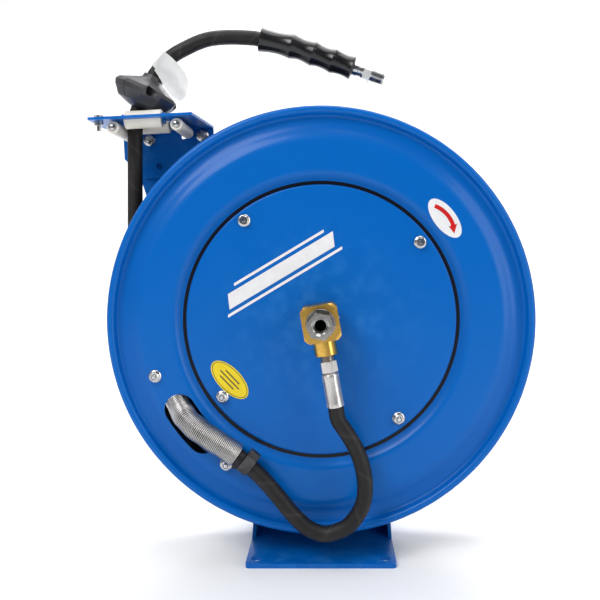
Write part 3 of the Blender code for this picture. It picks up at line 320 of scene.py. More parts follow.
def finish_mesh(bm, name, finish, sharp=35.0):
    bmesh.ops.remove_doubles(bm, verts=bm.verts, dist=1e-6)
    bmesh.ops.recalc_face_normals(bm, faces=bm.faces)
    mesh = bpy.data.meshes.new(name)
    bm.to_mesh(mesh)
    bm.free()
    mesh.shade_smooth()
    mesh.set_sharp_from_angle(angle=radians(sharp))
    if finish is not None:
        mesh.materials.append(finish)
    obj = bpy.data.objects.new(name, mesh)
    bpy.context.scene.collection.objects.link(obj)
    return obj


def turned(name, profile, finish, segments=64, matrix=Matrix.Identity(4), phase=0.0):
    """A closed profile of (radius, height) points turned about Z, then placed by the matrix."""
    bm = bmesh.new()
    rings = []
    for i in range(segments):
        angle = phase + 2.0 * pi * i / segments
        rings.append([bm.verts.new((r * cos(angle), r * sin(angle), h)) for r, h in profile])
    count = len(profile)
    for i in range(segments):
        here, there = rings[i], rings[(i + 1) % segments]
        for j in range(count):
            k = (j + 1) % count
            if profile[j][0] > 1e-9 or profile[k][0] > 1e-9:
                bm.faces.new((here[j], there[j], there[k], here[k]))
    bmesh.ops.remove_doubles(bm, verts=bm.verts, dist=1e-6)
    bmesh.ops.dissolve_degenerate(bm, edges=bm.edges, dist=1e-7)
    bmesh.ops.transform(bm, matrix=matrix, verts=bm.verts)
    return finish_mesh(bm, name, finish)


def prism(name, outline, low, high, finish, matrix=Matrix.Identity(4)):
    """An outline of (x, y) points between two heights, placed by the matrix."""
    bm = bmesh.new()
    face = bm.faces.new([bm.verts.new((x, y, low)) for x, y in outline])
    made = bmesh.ops.extrude_face_region(bm, geom=[face])
    moved = [item for item in made["geom"] if isinstance(item, bmesh.types.BMVert)]
    bmesh.ops.translate(bm, verts=moved, vec=(0.0, 0.0, high - low))
    bmesh.ops.transform(bm, matrix=matrix, verts=bm.verts)
    return finish_mesh(bm, name, finish)


def frames_along(points):
    """A direction and two side vectors at each point, turning as little as they can."""
    count = len(points)
    found = []
    side = None
    for i in range(count):
        along = (points[min(count - 1, i + 1)] - points[max(0, i - 1)]).normalized()
        if side is None:
            up = Vector((0.0, 1.0, 0.0)) if abs(along.y) < 0.9 else Vector((0.0, 0.0, 1.0))
            side = along.cross(up).normalized()
        side = (side - along * side.dot(along)).normalized()
        found.append((along, side, along.cross(side)))
    return found


def beside(point, side, over, angle, radius):
    """The point at an angle and a distance from a line, given its two side vectors."""
    return point + (side * cos(angle) + over * sin(angle)) * radius


def tube(name, points, radius, finish, sides=24, sharp=40.0):
    """A capped tube with UVs: once around in U, metres along in V. radius may be a list."""
    radii = radius if isinstance(radius, list) else [radius] * len(points)
    bm = bmesh.new()
    uv = bm.loops.layers.uv.new("UVMap")
    rings = []
    for point, (_, side, over), size in zip(points, frames_along(points), radii):
        angles = [2.0 * pi * k / sides for k in range(sides)]
        rings.append([bm.verts.new(beside(point, side, over, angle, size)) for angle in angles])
    gone = 0.0
    for i in range(len(rings) - 1):
        step = (points[i + 1] - points[i]).length
        for k in range(sides):
            n = (k + 1) % sides
            face = bm.faces.new((rings[i][k], rings[i][n], rings[i + 1][n], rings[i + 1][k]))
            corners = ((k, gone), (k + 1, gone), (k + 1, gone + step), (k, gone + step))
            for loop, (u, v) in zip(face.loops, corners):
                loop[uv].uv = (u / sides, v)
        gone += step
    bm.faces.new(rings[0][::-1])
    bm.faces.new(rings[-1])
    return finish_mesh(bm, name, finish, sharp)


def smooth_route(points, spacing):
    """Points about one spacing apart on a smooth curve through the route's own points."""
    route = [Vector(point) for point in points]
    route.insert(0, 2.0 * route[0] - route[1])
    route.append(2.0 * route[-1] - route[-2])
    found = [route[1]]
    for i in range(1, len(route) - 2):
        before, start, end, after = route[i - 1 : i + 3]
        steps = max(1, round((end - start).length / spacing))
        for j in range(1, steps + 1):
            t = j / steps
            linear = (end - before) * t
            square = (2.0 * before - 5.0 * start + 4.0 * end - after) * t**2
            cubic = (3.0 * start - before - 3.0 * end + after) * t**3
            found.append(start + 0.5 * (linear + square + cubic))
    return found


def length_of(points):
    return sum((b - a).length for a, b in zip(points, points[1:]))


def arc(cx, cy, radius, start, end, steps):
    found = []
    for i in range(steps + 1):
        angle = start + (end - start) * i / steps
        found.append((cx + radius * cos(angle), cy + radius * sin(angle)))
    return found


def boolean(obj, other, operation="DIFFERENCE"):
    """Applies a Boolean and removes its other operand."""
    step = obj.modifiers.new("shape", "BOOLEAN")
    step.operation = operation
    step.solver = "EXACT"
    step.object = other
    return applied(obj, other)


def cut(obj, profile, segments, place):
    return boolean(obj, turned("cutter", profile, None, segments, place))


def joined(obj, profile, segments, place):
    return boolean(obj, turned("addition", profile, None, segments, place), "UNION")


def applied(obj, *gone, sharp=35.0):
    """Bakes the modifiers into the mesh and removes the helper objects."""
    bpy.context.view_layer.update()
    graph = bpy.context.evaluated_depsgraph_get()
    finishes = [slot.material for slot in obj.material_slots]
    mesh = bpy.data.meshes.new_from_object(obj.evaluated_get(graph))
    mesh.materials.clear()
    for finish in finishes[:1]:
        mesh.materials.append(finish)
    for face in mesh.polygons:
        face.material_index = 0
    obj.modifiers.clear()
    obj.data = mesh
    for other in gone:
        bpy.data.objects.remove(other, do_unlink=True)
    mesh.shade_smooth()
    mesh.set_sharp_from_angle(angle=radians(sharp))
    return obj


def bevelled(obj, width=0.0004, segments=2, angle=30.0):
    step = obj.modifiers.new("edges", "BEVEL")
    step.width = width
    step.segments = segments
    step.limit_method = "ANGLE"
    step.angle_limit = radians(angle)
    step.harden_normals = False
    return obj


def put(obj, body, *nodes, slot=None):
    """The piece rides on a body and stands for its CAD nodes. The slot argument is not used."""
    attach(obj, body)
    if nodes:
        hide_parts(*nodes)
    return obj


# Hose

PIGTAIL_ROUTE = (
    (0.0187, -0.0758, 0.164), (0.0259, -0.077, 0.1533), (0.0373, -0.078, 0.1346),
    (0.0451, -0.078, 0.1132), (0.0479, -0.078, 0.0904), (0.0442, -0.077, 0.0694),
    (0.0314, -0.075, 0.05), (0.0174, -0.073, 0.0417), (0.0028, -0.071, 0.0383),
    (-0.0141, -0.069, 0.0437), (-0.0307, -0.0665, 0.0578), (-0.0485, -0.0645, 0.0786),
    (-0.065, -0.0635, 0.097), (-0.082, -0.0638, 0.113),
)
GUARD_ROUTE = (
    (-0.096, -0.0645, 0.1245), (-0.113, -0.0655, 0.136), (-0.132, -0.0628, 0.1475),
    (-0.148, -0.0548, 0.158),
)
PIGTAIL_END = (-0.159, -0.0425, 0.169)
GUARD_START = -0.093
GUARD_END = -0.166
GUARD_RADIUS = 0.0127
GUARD_WIRE = 0.00066
GUARD_PITCH = 0.00175
LEAD_ROUTE = (
    (-0.222, 0.0, 0.33), (-0.222, 0.0, 0.39), (-0.222, 0.0, 0.44), (-0.222, 0.0, 0.48),
    (-0.2205, 0.0, 0.5089), (-0.2095, 0.0, 0.5325), (-0.1985, 0.0, 0.5561),
    (-0.1798, 0.0, 0.577), (-0.1562, 0.0, 0.5906), (-0.1378, 0.0, 0.5979),
    (-0.12, 0.0, 0.6006), (-0.1014, 0.0, 0.601), (-0.0833, 0.0, 0.6), (-0.0742, 0.0, 0.5986),
)
LEAD_RADIUS = 0.222
LEAD_START = radians(290.0)
LAYER_RADII = (0.1698, 0.1873, 0.2048)
SIDE_LIMIT = 0.0298
INNER_LIMIT = -0.0118
POINTS_PER_TURN = 48
# Degrees of turn
CLIMB = 70.0
LEAD_PHASE = 280.0
RADIUS_EASE = 60.0
DEPTH_EASE = 30.0
# Where the winding begins, inside the slot
ENTRY_ANGLE = 210.0
ENTRY_RADIUS = 0.19
ENTRY_DEPTH = -0.031


def outlet_direction():
    return Vector((sin(SWIVEL_TURN), 0.0, -cos(SWIVEL_TURN)))


def pointing(start, direction):
    """A placement that starts at a point and has its Z along a direction."""
    turn = Vector((0.0, 0.0, 1.0)).rotation_difference(direction)
    return Matrix.Translation(start) @ turn.to_matrix().to_4x4()


def outlet_matrix():
    return pointing(Vector((0.0, SWIVEL_Y, AXLE_HEIGHT)), outlet_direction())


def eased(t):
    t = max(0.0, min(1.0, t))
    return t * t * (3.0 - 2.0 * t)


def winding_stages():
    """(turn in degrees from the slot, radius, depth) where each layer starts and ends."""
    stages = [(0.0, LAYER_RADII[0], -SIDE_LIMIT)]
    angle = 0.0
    depth = -SIDE_LIMIT
    for radius, target in zip(LAYER_RADII, (SIDE_LIMIT, INNER_LIMIT, SIDE_LIMIT)):
        if angle > 0.0:
            angle += CLIMB
            stages.append((angle, radius, depth))
        angle += abs(target - depth) / HOSE_PITCH * 360.0
        depth = target
        stages.append((angle, radius, depth))
    return stages


def winding_points():
    """The wound hose: layer on layer, back and forth between the discs, to the lead's start."""
    stages = winding_stages()
    last = stages[-1][0]
    total = 360.0 * ceil((last + CLIMB - LEAD_PHASE) / 360.0) + LEAD_PHASE
    stages.append((last + CLIMB, LEAD_RADIUS, SIDE_LIMIT))
    stages.append((total, LEAD_RADIUS, 0.0))
    points = []
    step = 360.0 / POINTS_PER_TURN
    for i in range(int(total / step) + 1):
        turn = i * step
        for (a0, r0, y0), (a1, r1, y1) in zip(stages, stages[1:]):
            if turn <= a1:
                share = (turn - a0) / (a1 - a0)
                radius = r0 + (r1 - r0) * eased(share)
                depth = y0 + (y1 - y0) * (eased(share) if r0 == LEAD_RADIUS else share)
                break
        radius += (ENTRY_RADIUS - LAYER_RADII[0]) * (1.0 - eased(turn / RADIUS_EASE))
        depth += (ENTRY_DEPTH + SIDE_LIMIT) * (1.0 - eased(turn / DEPTH_EASE))
        angle = radians(ENTRY_ANGLE - turn)
        points.append(Vector((radius * cos(angle), depth, AXLE_HEIGHT + radius * sin(angle))))
    return points


def make_wound_hose():
    """From the ferrule round to the slot, through the disc, and wound on the drum."""
    down = outlet_direction()
    start = Vector((0.0, SWIVEL_Y, AXLE_HEIGHT)) + down * (FERRULE_END + GAP)
    winding = winding_points()
    route = [start, *PIGTAIL_ROUTE, *GUARD_ROUTE, PIGTAIL_END, winding[1]]
    pigtail = smooth_route(route, 0.004)
    points = pigtail + winding[2:]
    make_guard([point for point in pigtail if GUARD_END < point.x < GUARD_START])
    hose = tube("wound_hose", points, HOSE_RADIUS, RUBBER, 20)
    put(hose, "spool", "hose_pigtail", "hose_coil", slot="hose_rubber")


def lead_points():
    """The free end: along the outermost turn, up through the rollers and over to the grip."""
    points = []
    steps = 22
    for i in range(steps + 1):
        angle = LEAD_START + (pi - LEAD_START) * i / steps
        x = LEAD_RADIUS * cos(angle)
        points.append(Vector((x, 0.0, AXLE_HEIGHT + LEAD_RADIUS * sin(angle))))
    return points + smooth_route([points[-1], *LEAD_ROUTE, *GRIP_ROUTE[1:]], 0.006)[1:]


def make_lead():
    points = lead_points()
    hose = tube("hose_free_end", points, HOSE_RADIUS, RUBBER, 32)
    put(hose, "stand", "hose_lead", slot="hose_rubber")


def make_guard(route):
    """Close-wound wire guard around the hose, from the clamp into the slot."""
    core = smooth_route(route, 0.002)
    total = length_of(core)
    turns = int(total / GUARD_PITCH)
    around = 26
    frames = frames_along(core)
    gone = [0.0]
    for a, b in zip(core, core[1:]):
        gone.append(gone[-1] + (b - a).length)
    points = []
    at = 0
    for i in range(turns * around + 1):
        distance = total * i / (turns * around)
        while at < len(core) - 2 and gone[at + 1] < distance:
            at += 1
        share = (distance - gone[at]) / (gone[at + 1] - gone[at])
        centre = core[at].lerp(core[at + 1], share)
        side = frames[at][1].lerp(frames[at + 1][1], share).normalized()
        over = frames[at][2].lerp(frames[at + 1][2], share).normalized()
        angle = 2.0 * pi * i / around
        radius = GUARD_RADIUS + 0.0004 * sin(distance * 260.0)
        points.append(beside(centre, side, over, angle, radius))
    guard = tube("wire_guard", points, GUARD_WIRE, CRIMP, 6, 80.0)
    put(guard, "spool", "spring_guard", slot="zinc_plate")


# Spool


def disc_line():
    """The disc's pressed shape as (radius, forward) points, rounded between its bends."""
    bends = [
        (0.1385, 0.0418), (0.156, 0.0418), (0.159, 0.0426), (0.1625, 0.0458), (0.1665, 0.0482),
        (0.172, LAND_FRONT - SHEET / 2.0), (0.185, LAND_FRONT - SHEET / 2.0),
        (0.198, LAND_FRONT - SHEET / 2.0), (0.204, 0.0482), (0.21, 0.0462), (0.215, 0.0438),
        (0.2205, 0.042), (0.228, 0.0412), (0.2312, 0.0422), (0.2326, 0.0448),
    ]
    line = [(p.x, p.y) for p in smooth_route([(r, y, 0.0) for r, y in bends], 0.0016)]
    return line[:-1] + arc(0.2364, 0.0475, 0.0038, radians(205.0), radians(-70.0), 14)


def sheet_profile(middle, thickness):
    left, right = [], []
    for i, (radius, height) in enumerate(middle):
        along = Vector(middle[min(len(middle) - 1, i + 1)]) - Vector(middle[max(0, i - 1)])
        across = Vector((-along.y, along.x)).normalized() * thickness / 2.0
        left.append((radius + across.x, height + across.y))
        right.append((radius - across.x, height - across.y))
    return left + right[::-1]


def kidney_outline(grow=0.0):
    half = SLOT_HALF_WIDTH + grow
    points = arc(0.0, 0.0, SLOT_RADIUS + half, SLOT_START, SLOT_END, 10)
    x, y = SLOT_RADIUS * cos(SLOT_END), SLOT_RADIUS * sin(SLOT_END)
    points += arc(x, y, half, SLOT_END, SLOT_END + pi, 24)[1:-1]
    points += arc(0.0, 0.0, SLOT_RADIUS - half, SLOT_END, SLOT_START, 10)
    x, y = SLOT_RADIUS * cos(SLOT_START), SLOT_RADIUS * sin(SLOT_START)
    points += arc(x, y, half, SLOT_START + pi, SLOT_START + 2.0 * pi, 24)[1:-1]
    return points


def make_discs():
    profile = sheet_profile(disc_line(), SHEET)
    # Both discs take the finish whose near-black ring is painted shade for the gap around the
    # cover.
    front = turned("front_disc_pressing", profile, BLUE_DISC, 240, SPOOL)
    boolean(front, prism("slot_tool", kidney_outline(), 0.02, 0.07, None, SPOOL))
    put(front, "spool", "front_disc", slot="blue_paint")
    back = Matrix.Translation((0.0, 0.0, AXLE_HEIGHT)) @ Matrix.Rotation(radians(-90.0), 4, "X")
    rear = turned("back_disc_pressing", profile, BLUE_DISC, 240, back)
    put(rear, "spool", "back_disc", slot="blue_paint")


def make_cover():
    """The round front cover, with a rolled edge over the joint around it, whose dark is painted
    shade on the discs' finish.
    """
    edge = arc(COVER_RADIUS - 0.0022, COVER_FRONT - 0.0022, 0.0022, pi / 2.0, 0.0, 6)
    profile = [(0.0126, COVER_FRONT), (0.144, COVER_FRONT), *edge]
    profile += [(COVER_RADIUS, 0.0429), (0.12, 0.0429), (0.0126, 0.0431)]
    cover = turned("front_cover_pressing", profile, BLUE, 240, SPOOL)
    put(cover, "spool", "front_cover", slot="blue_paint")
    boss = [(0.0158, 0.008), (0.0205, 0.008), (0.021, 0.0085), (0.021, 0.0428), (0.0158, 0.0428)]
    put(turned("front_hub_boss", boss, BLUE, 64, SPOOL), "spool", slot="blue_paint")


def make_drum():
    profile = [
        (0.131, -0.0406), (DRUM_RADIUS - 0.001, -0.0406), (DRUM_RADIUS, -0.0396),
        (DRUM_RADIUS, 0.0396), (DRUM_RADIUS - 0.001, 0.0406), (0.131, 0.0406), (0.131, 0.039),
        (DRUM_RADIUS - 0.0016, 0.039), (DRUM_RADIUS - 0.0016, -0.039), (0.131, -0.039),
    ]
    put(turned("drum_shell", profile, BLUE, 180, SPOOL), "spool", "drum", slot="blue_paint")


def make_back_wall():
    profile = [
        (0.0158, -0.0505), (0.0224, -0.0505), (0.023, -0.0499), (0.0236, -0.046),
        (0.0255, -0.0445), (0.1492, -0.0445), (0.15, -0.0437), (0.15, -0.0429),
        (0.021, -0.0429), (0.021, -0.033), (0.0158, -0.033),
    ]
    wall = turned("back_wall_pressing", profile, BLUE, 160, SPOOL)
    put(wall, "spool", "back_wall", slot="blue_paint")


def nut_at(name, x, z, face, body, node, slot="zinc_plate"):
    """Flanged nut on a stud: domed flange, chamfered hexagon and the stud's rounded end."""
    place = Matrix.Translation((x, 0.0, z)) @ TO_FRONT
    flange = [(0.0, face - 0.012), (0.0029, face - 0.012), (0.0029, face), (0.007, face)]
    flange += [(0.0071, face + 0.0005), (0.0066, face + 0.001), (0.0056, face + 0.0016)]
    flange += [(0.0046, face + 0.0018), (0.0, face + 0.0018)]
    nut = turned(name, flange, ZINC, 48, place)
    turn = Matrix.Rotation(x * 37.0, 4, "Z")
    top = face + 0.0058
    sides = [(0.0, face), (0.00577, face), (0.00577, top), (0.0, top)]
    hexagon = turned("hexagon", sides, ZINC, 6, place @ turn)
    crown = [(0.0, face - 0.001), (0.0062, face - 0.001), (0.0062, face + 0.0045)]
    crown += [(0.0046, top), (0.0033, top), (0.0029, face + 0.0053), (0.0, face + 0.0053)]
    boolean(hexagon, turned("crown_tool", crown, None, 40, place), "INTERSECT")
    boolean(nut, hexagon, "UNION")
    stud = [(0.0, face), (0.0026, face), (0.0026, face + 0.007)]
    stud += [(0.002, face + 0.0077), (0.0, face + 0.0078)]
    joined(nut, stud, 24, place)
    put(nut, body, node, slot=slot)


def make_nuts():
    for i in range(4):
        angle = NUT_ANGLE + i * pi / 2.0
        x, z = NUT_RADIUS * cos(angle), AXLE_HEIGHT + NUT_RADIUS * sin(angle)
        name, node = "cover_flange_nut_%d" % (i + 1), "cover_nut_%d" % (i + 1)
        nut_at(name, x, z, COVER_FRONT + GAP, "spool", node)
    nut_at("slot_flange_nut", *DISC_BOLTS[0], LAND_FRONT + GAP, "spool", "slot_bolt")
    nut_at("clamp_flange_nut", *DISC_BOLTS[1], LAND_FRONT + 0.0021, "spool", "clamp_bolt")


def decal(name, outline, x, z, turn, face, finish, thick=0.00015):
    """A thin printed piece lying on the spool's front, at a world place."""
    place = Matrix.Translation((x, -face, z)) @ TO_FRONT
    place = place @ Matrix.Rotation(turn, 4, "Z")
    return put(prism(name, outline, 0.0, thick, finish, place), "spool")


def ellipse(half_x, half_y, steps=72):
    angles = [2.0 * pi * i / steps for i in range(steps)]
    return [(half_x * cos(a), half_y * sin(a)) for a in angles]


def ring(outer, inner):
    """An ellipse's band as one outline, closed by a hairline slit."""
    a, b = outer, inner
    return [*ellipse(*a), (a[0], -0.00001), (b[0], -0.00001)] + ellipse(*b)[:0:-1] + [(b[0], 0.0)]


def make_labels():
    """Plain stand-ins for the printed marks: slanting bars, a blank oval and a turning arrow."""
    face = COVER_FRONT + 0.00005
    slope = radians(31.0)
    bars = (
        (-0.08, -0.015, 0.15, 0.003),
        (-0.074, -0.008, 0.138, 0.016),
        (-0.056, 0.012, 0.118, 0.003),
    )
    for i, (start, rise, long, high) in enumerate(bars):
        lean = high * 0.45
        end, top = start + long, rise + high
        outline = [(start, rise), (end, rise), (end + lean, top), (start + lean, top)]
        decal("white_bar_%d" % (i + 1), outline, -0.044, 0.326, slope, face, WHITE_INK)
    oval = (-0.1033, 0.202, radians(-46.0))
    decal("yellow_oval", ellipse(0.0272, 0.0132), *oval, face, YELLOW_INK)
    decal("oval_border", ring((0.0258, 0.0119), (0.0251, 0.0112)), *oval, face + 0.00012, DARK_INK)
    for i in range(3):
        half = (0.011, 0.015, 0.011)[i]
        low = 0.0044 - 0.0044 * i
        under, over = low - 0.0007, low + 0.0007
        bar = [(-half, under), (half, under), (half, over), (-half, over)]
        decal("oval_rule_%d" % (i + 1), bar, *oval, face + 0.00012, DARK_INK)
    land = LAND_FRONT + 0.00005
    spot = (0.1386, 0.384, radians(-52.0))
    decal("white_oval", ellipse(0.0262, 0.0123), *spot, land, WHITE_INK)
    centre = (0.0, -0.03)
    outer = arc(*centre, 0.0368, radians(121.0), radians(70.0), 16)
    inner = arc(*centre, 0.0322, radians(70.0), radians(121.0), 16)
    head = [
        (centre[0] + r * cos(radians(a)), centre[1] + r * sin(radians(a)))
        for r, a in ((0.0392, 70.0), (0.0342, 54.0), (0.0296, 70.0))
    ]
    decal("turn_arrow", outer + head + inner, *spot, land + 0.00012, RED_INK)


# Swivel


def chamfered_block(name, corners, phase, half, low, high, finish, place, chamfer=0.003, sides=6):
    """A bar of so many sides whose end corners are turned off to a cone, as on a nut."""
    corner = half / cos(pi / sides)
    section = [(0.0, low), (corner, low), (corner, high), (0.0, high)]
    bar = turned(name, section, finish, sides, place, phase)
    rim = corner * corners
    cone = [(0.0, low - 0.001), (rim, low - 0.001), (rim, low), (corner + 0.001, low + chamfer)]
    cone += [(corner + 0.001, high - chamfer), (rim, high)]
    cone += [(rim, high + 0.001), (0.0, high + 0.001)]
    return boolean(bar, turned("cone_tool", cone, None, 96, place), "INTERSECT")


def make_swivel():
    """Brass block with turned-off corners, its outlet boss, and the locknut behind it."""
    low, high = -SWIVEL_Y - SWIVEL_HALF, -SWIVEL_Y + SWIVEL_HALF
    place = SPOOL @ Matrix.Rotation(SWIVEL_TURN, 4, "Z")
    quarter = pi / 4.0
    body = chamfered_block(
        "swivel_block", 0.8, quarter, SWIVEL_HALF, low, high, BRASS, place, 0.006, 4
    )
    start, end = low - 0.001, high + 0.001
    sides = [(0.0, start), (0.0252, start), (0.0252, end), (0.0, end)]
    boolean(body, turned("turned_sides", sides, None, 96, place), "INTERSECT")
    boss = [(0.0, 0.012), (0.0125, 0.012), (0.0125, OUTLET_END - 0.0008)]
    boss += [(0.0117, OUTLET_END), (0.0, OUTLET_END)]
    joined(body, boss, 64, outlet_matrix())
    spigot = [(0.0, COVER_FRONT), (0.011, COVER_FRONT), (0.011, low + 0.002), (0.0, low + 0.002)]
    joined(body, spigot, 48, SPOOL)
    bore = [(0.0, low + 0.008), (0.012, low + 0.008), (0.012, high - 0.0012)]
    bore += [(0.0134, end), (0.0, end)]
    cut(body, bore, 64, SPOOL)
    outlet = [(0.0, 0.024), (0.008, 0.024), (0.008, OUTLET_END + 0.002), (0.0, OUTLET_END + 0.002)]
    cut(body, outlet, 40, outlet_matrix())
    bevelled(body, 0.0005, 2, 28.0)
    put(body, "spool", "swivel_body", slot="brass")
    nut = chamfered_block(
        "locknut", 0.94, SWIVEL_TURN, 0.018, COVER_FRONT + GAP, low - GAP, ZINC, SPOOL, 0.0016
    )
    hole = [(0.0, 0.03), (0.0114, 0.03), (0.0114, 0.07), (0.0, 0.07)]
    cut(nut, hole, 40, SPOOL)
    put(nut, "spool", "swivel_locknut", slot="zinc_plate")
    washer = [(0.0114, high + GAP), (0.0157, high + GAP), (0.016, high + 0.0006)]
    washer += [(0.016, high + 0.0013), (0.0157, high + 0.0017), (0.0114, high + 0.0017)]
    put(turned("keeper_ring", washer, STEEL, 64, SPOOL), "spool", "retaining_ring", slot="steel")


def make_stem():
    """Inlet stem: hexagon with turned ends, threaded mouth and the shaft in the brass."""
    front = -SWIVEL_Y + SWIVEL_HALF
    back = -SWIVEL_Y - SWIVEL_HALF + 0.009
    ends = (front + 0.002, front + 0.028)
    head = chamfered_block("inlet_stem", 0.955, STEM_TURN, 0.013, *ends, STEEL, SPOOL, 0.0016)
    shaft = [(0.0, back), (0.0104, back), (0.011, back + 0.0006), (0.011, back + 0.008)]
    shaft += [(0.0096, back + 0.008), (0.0096, back + 0.011), (0.011, back + 0.011)]
    shaft += [(0.011, front + 0.003), (0.0, front + 0.003)]
    joined(head, shaft, 64, SPOOL)
    mouth = [(0.0, back - 0.01), (0.0062, back - 0.01), (0.0062, front + 0.0138)]
    mouth.append((0.0075, front + 0.0142))
    pitch = 0.0013
    for i in range(9):
        at = front + 0.0148 + i * pitch
        mouth += [(0.0075, at), (0.0083, at + pitch / 2.0)]
    mouth += [(0.0082, front + 0.0266), (0.01, front + 0.0282)]
    mouth += [(0.01, front + 0.04), (0.0, front + 0.04)]
    cut(head, mouth, 64, SPOOL)
    bevelled(head, 0.0003, 2, 28.0)
    put(head, "swivel_stem", "swivel_stem", slot="steel")
    angles = [pi * k / 6 for k in range(12)]
    middle = back + 0.0095
    seal = [(0.0107 + 0.0009 * cos(a), middle + 0.0009 * sin(a)) for a in angles]
    put(turned("seal_ring", seal, BLACK, 64, SPOOL), "swivel_stem", "stem_seal", slot="seal_rubber")
    low, high = back - 0.0008, back - 0.0002
    seat = [(0.0, low), (0.01, low), (0.01, high), (0.0, high)]
    put(turned("stem_seat", seat, BLACK, 48, SPOOL), "swivel_stem", slot="seal_rubber")


def make_outlet():
    """Nipple with its hexagon, and the crimped ferrule on the hose."""
    place = outlet_matrix()
    start = OUTLET_END + GAP
    ends = (start + 0.006, start + 0.018)
    nipple = chamfered_block("hose_nipple", 0.95, NIPPLE_TURN, 0.0086, *ends, CRIMP, place, 0.001)
    thread = [(0.0, OUTLET_END - 0.01), (0.0072, OUTLET_END - 0.01)]
    for i in range(11):
        at = OUTLET_END - 0.009 + i * 0.0014
        thread += [(0.007, at), (0.0077, at + 0.0007)]
    thread += [(0.007, start + 0.0064), (0.0, start + 0.0064)]
    joined(nipple, thread, 48, place)
    put(nipple, "spool", "outlet_nipple", slot="zinc_plate")
    low = OUTLET_END + 0.0188
    high = FERRULE_END
    ferrule = turned(
        "crimped_ferrule",
        [
            (0.0, low), (0.0084, low), (0.0093, low + 0.001), (0.0096, low + 0.003),
            (0.0094, low + 0.006), (0.0094, high - 0.005), (0.0098, high - 0.0025),
            (0.0094, high - 0.0004), (0.0089, high), (0.0, high),
        ],
        CRIMP,
        64,
        place,
    )
    jaws = []
    for i in range(8):
        angle = 2.0 * pi * i / 8
        for spread in (-0.3, 0.3):
            jaws.append((0.0105 * cos(angle + spread), 0.0105 * sin(angle + spread)))
        middle = angle + pi / 8
        jaws.append((0.0089 * cos(middle), 0.0089 * sin(middle)))
    boolean(ferrule, prism("jaw_tool", jaws, low - 0.01, high + 0.01, None, place), "INTERSECT")
    bevelled(ferrule, 0.0003, 2, 25.0)
    put(ferrule, "spool", "hose_ferrule", slot="zinc_plate")


# Roller guide


def roller_at(name, half, radius, matrix, body, node):
    """Turned nylon roller: rounded shoulders, a shallow crown and a counterbore at each end."""
    profile = [(0.0031, -half + 0.0012), (radius * 0.62, -half + 0.0012), (radius * 0.66, -half)]
    profile += arc(radius - 0.0016, -half + 0.0016, 0.0016, -pi / 2.0, 0.0, 5)
    crown = radius - 0.00012
    profile += [(crown, -half * 0.5), (radius - 0.00018, 0.0), (crown, half * 0.5)]
    profile += arc(radius - 0.0016, half - 0.0016, 0.0016, 0.0, pi / 2.0, 5)
    profile += [(radius * 0.66, half), (radius * 0.62, half - 0.0012), (0.0031, half - 0.0012)]
    put(turned(name, profile, NYLON, 72, matrix), body, node, slot="nylon")


def make_rollers():
    for name, y in (("front_roller", -0.021), ("rear_roller", 0.021)):
        place = GUIDE @ Matrix.Translation((-0.0032, y, 0.0)) @ TO_SIDE
        roller_at(name + "_nylon", 0.0214, 0.0105, place, name, name)
    for name, x in (("left_roller", -0.0365), ("right_roller", 0.0365)):
        place = GUIDE @ Matrix.Translation((x, 0.0, -0.0095)) @ TO_FRONT
        roller_at(name + "_nylon", 0.0335, 0.0072, place, name, name)
        pin = [(0.0, -0.0575), (0.0025, -0.0575), (0.0025, 0.0338), (0.0036, 0.0338)]
        pin += [(0.0038, 0.0344), (0.0034, 0.0356), (0.0016, 0.0363), (0.0, 0.0364)]
        node = name.replace("roller", "pin")
        put(turned(node + "_turned", pin, ZINC, 32, place), "stand", node, slot="zinc_plate")


def make_guide_nuts():
    """Washer and flanged nut in front of the guide's flange, and its bolt head behind the arm."""
    front, back = -FLANGE_FRONT, -ARM_BACK
    for name, node, (x, z) in (
        ("guide_nut_left", "guide_bolt_left", (-0.0162, -0.0121)),
        ("guide_nut_right", "guide_bolt_right", (0.0509, -0.01)),
    ):
        place = GUIDE @ Matrix.Translation((x, 0.0, z)) @ TO_FRONT
        profile = [(0.0, back - 0.0045), (0.0058, back - 0.0045), (0.0065, back - 0.0035)]
        profile += [(0.0065, back), (0.004, back), (0.004, front), (0.0078, front)]
        profile.append((0.0078, front + 0.001))
        profile += [(0.0072, front + 0.0016), (0.006, front + 0.0022), (0.0, front + 0.0022)]
        nut = turned(name, profile, ZINC, 48, place)
        ends = (front + 0.001, front + 0.007)
        hexagon = chamfered_block("hexagon", 0.93, x * 50.0, 0.0055, *ends, ZINC, place, 0.0008)
        boolean(nut, hexagon, "UNION")
        stud = [(0.0, front + 0.006), (0.0036, front + 0.006), (0.0036, front + 0.0078)]
        stud += [(0.003, front + 0.0085), (0.0, front + 0.0085)]
        joined(nut, stud, 32, place)
        put(nut, "stand", node, slot="zinc_plate")


# Hose stop, tag, grip and fitting


def stop_matrix():
    across = Vector((0.0, 1.0, 0.0))
    side = across.cross(STOP_AXIS).normalized()
    turn = Matrix((side, across, STOP_AXIS)).transposed().to_4x4()
    return Matrix.Translation(STOP_CENTRE) @ turn @ Matrix.Rotation(STOP_SEAM, 4, "Z")


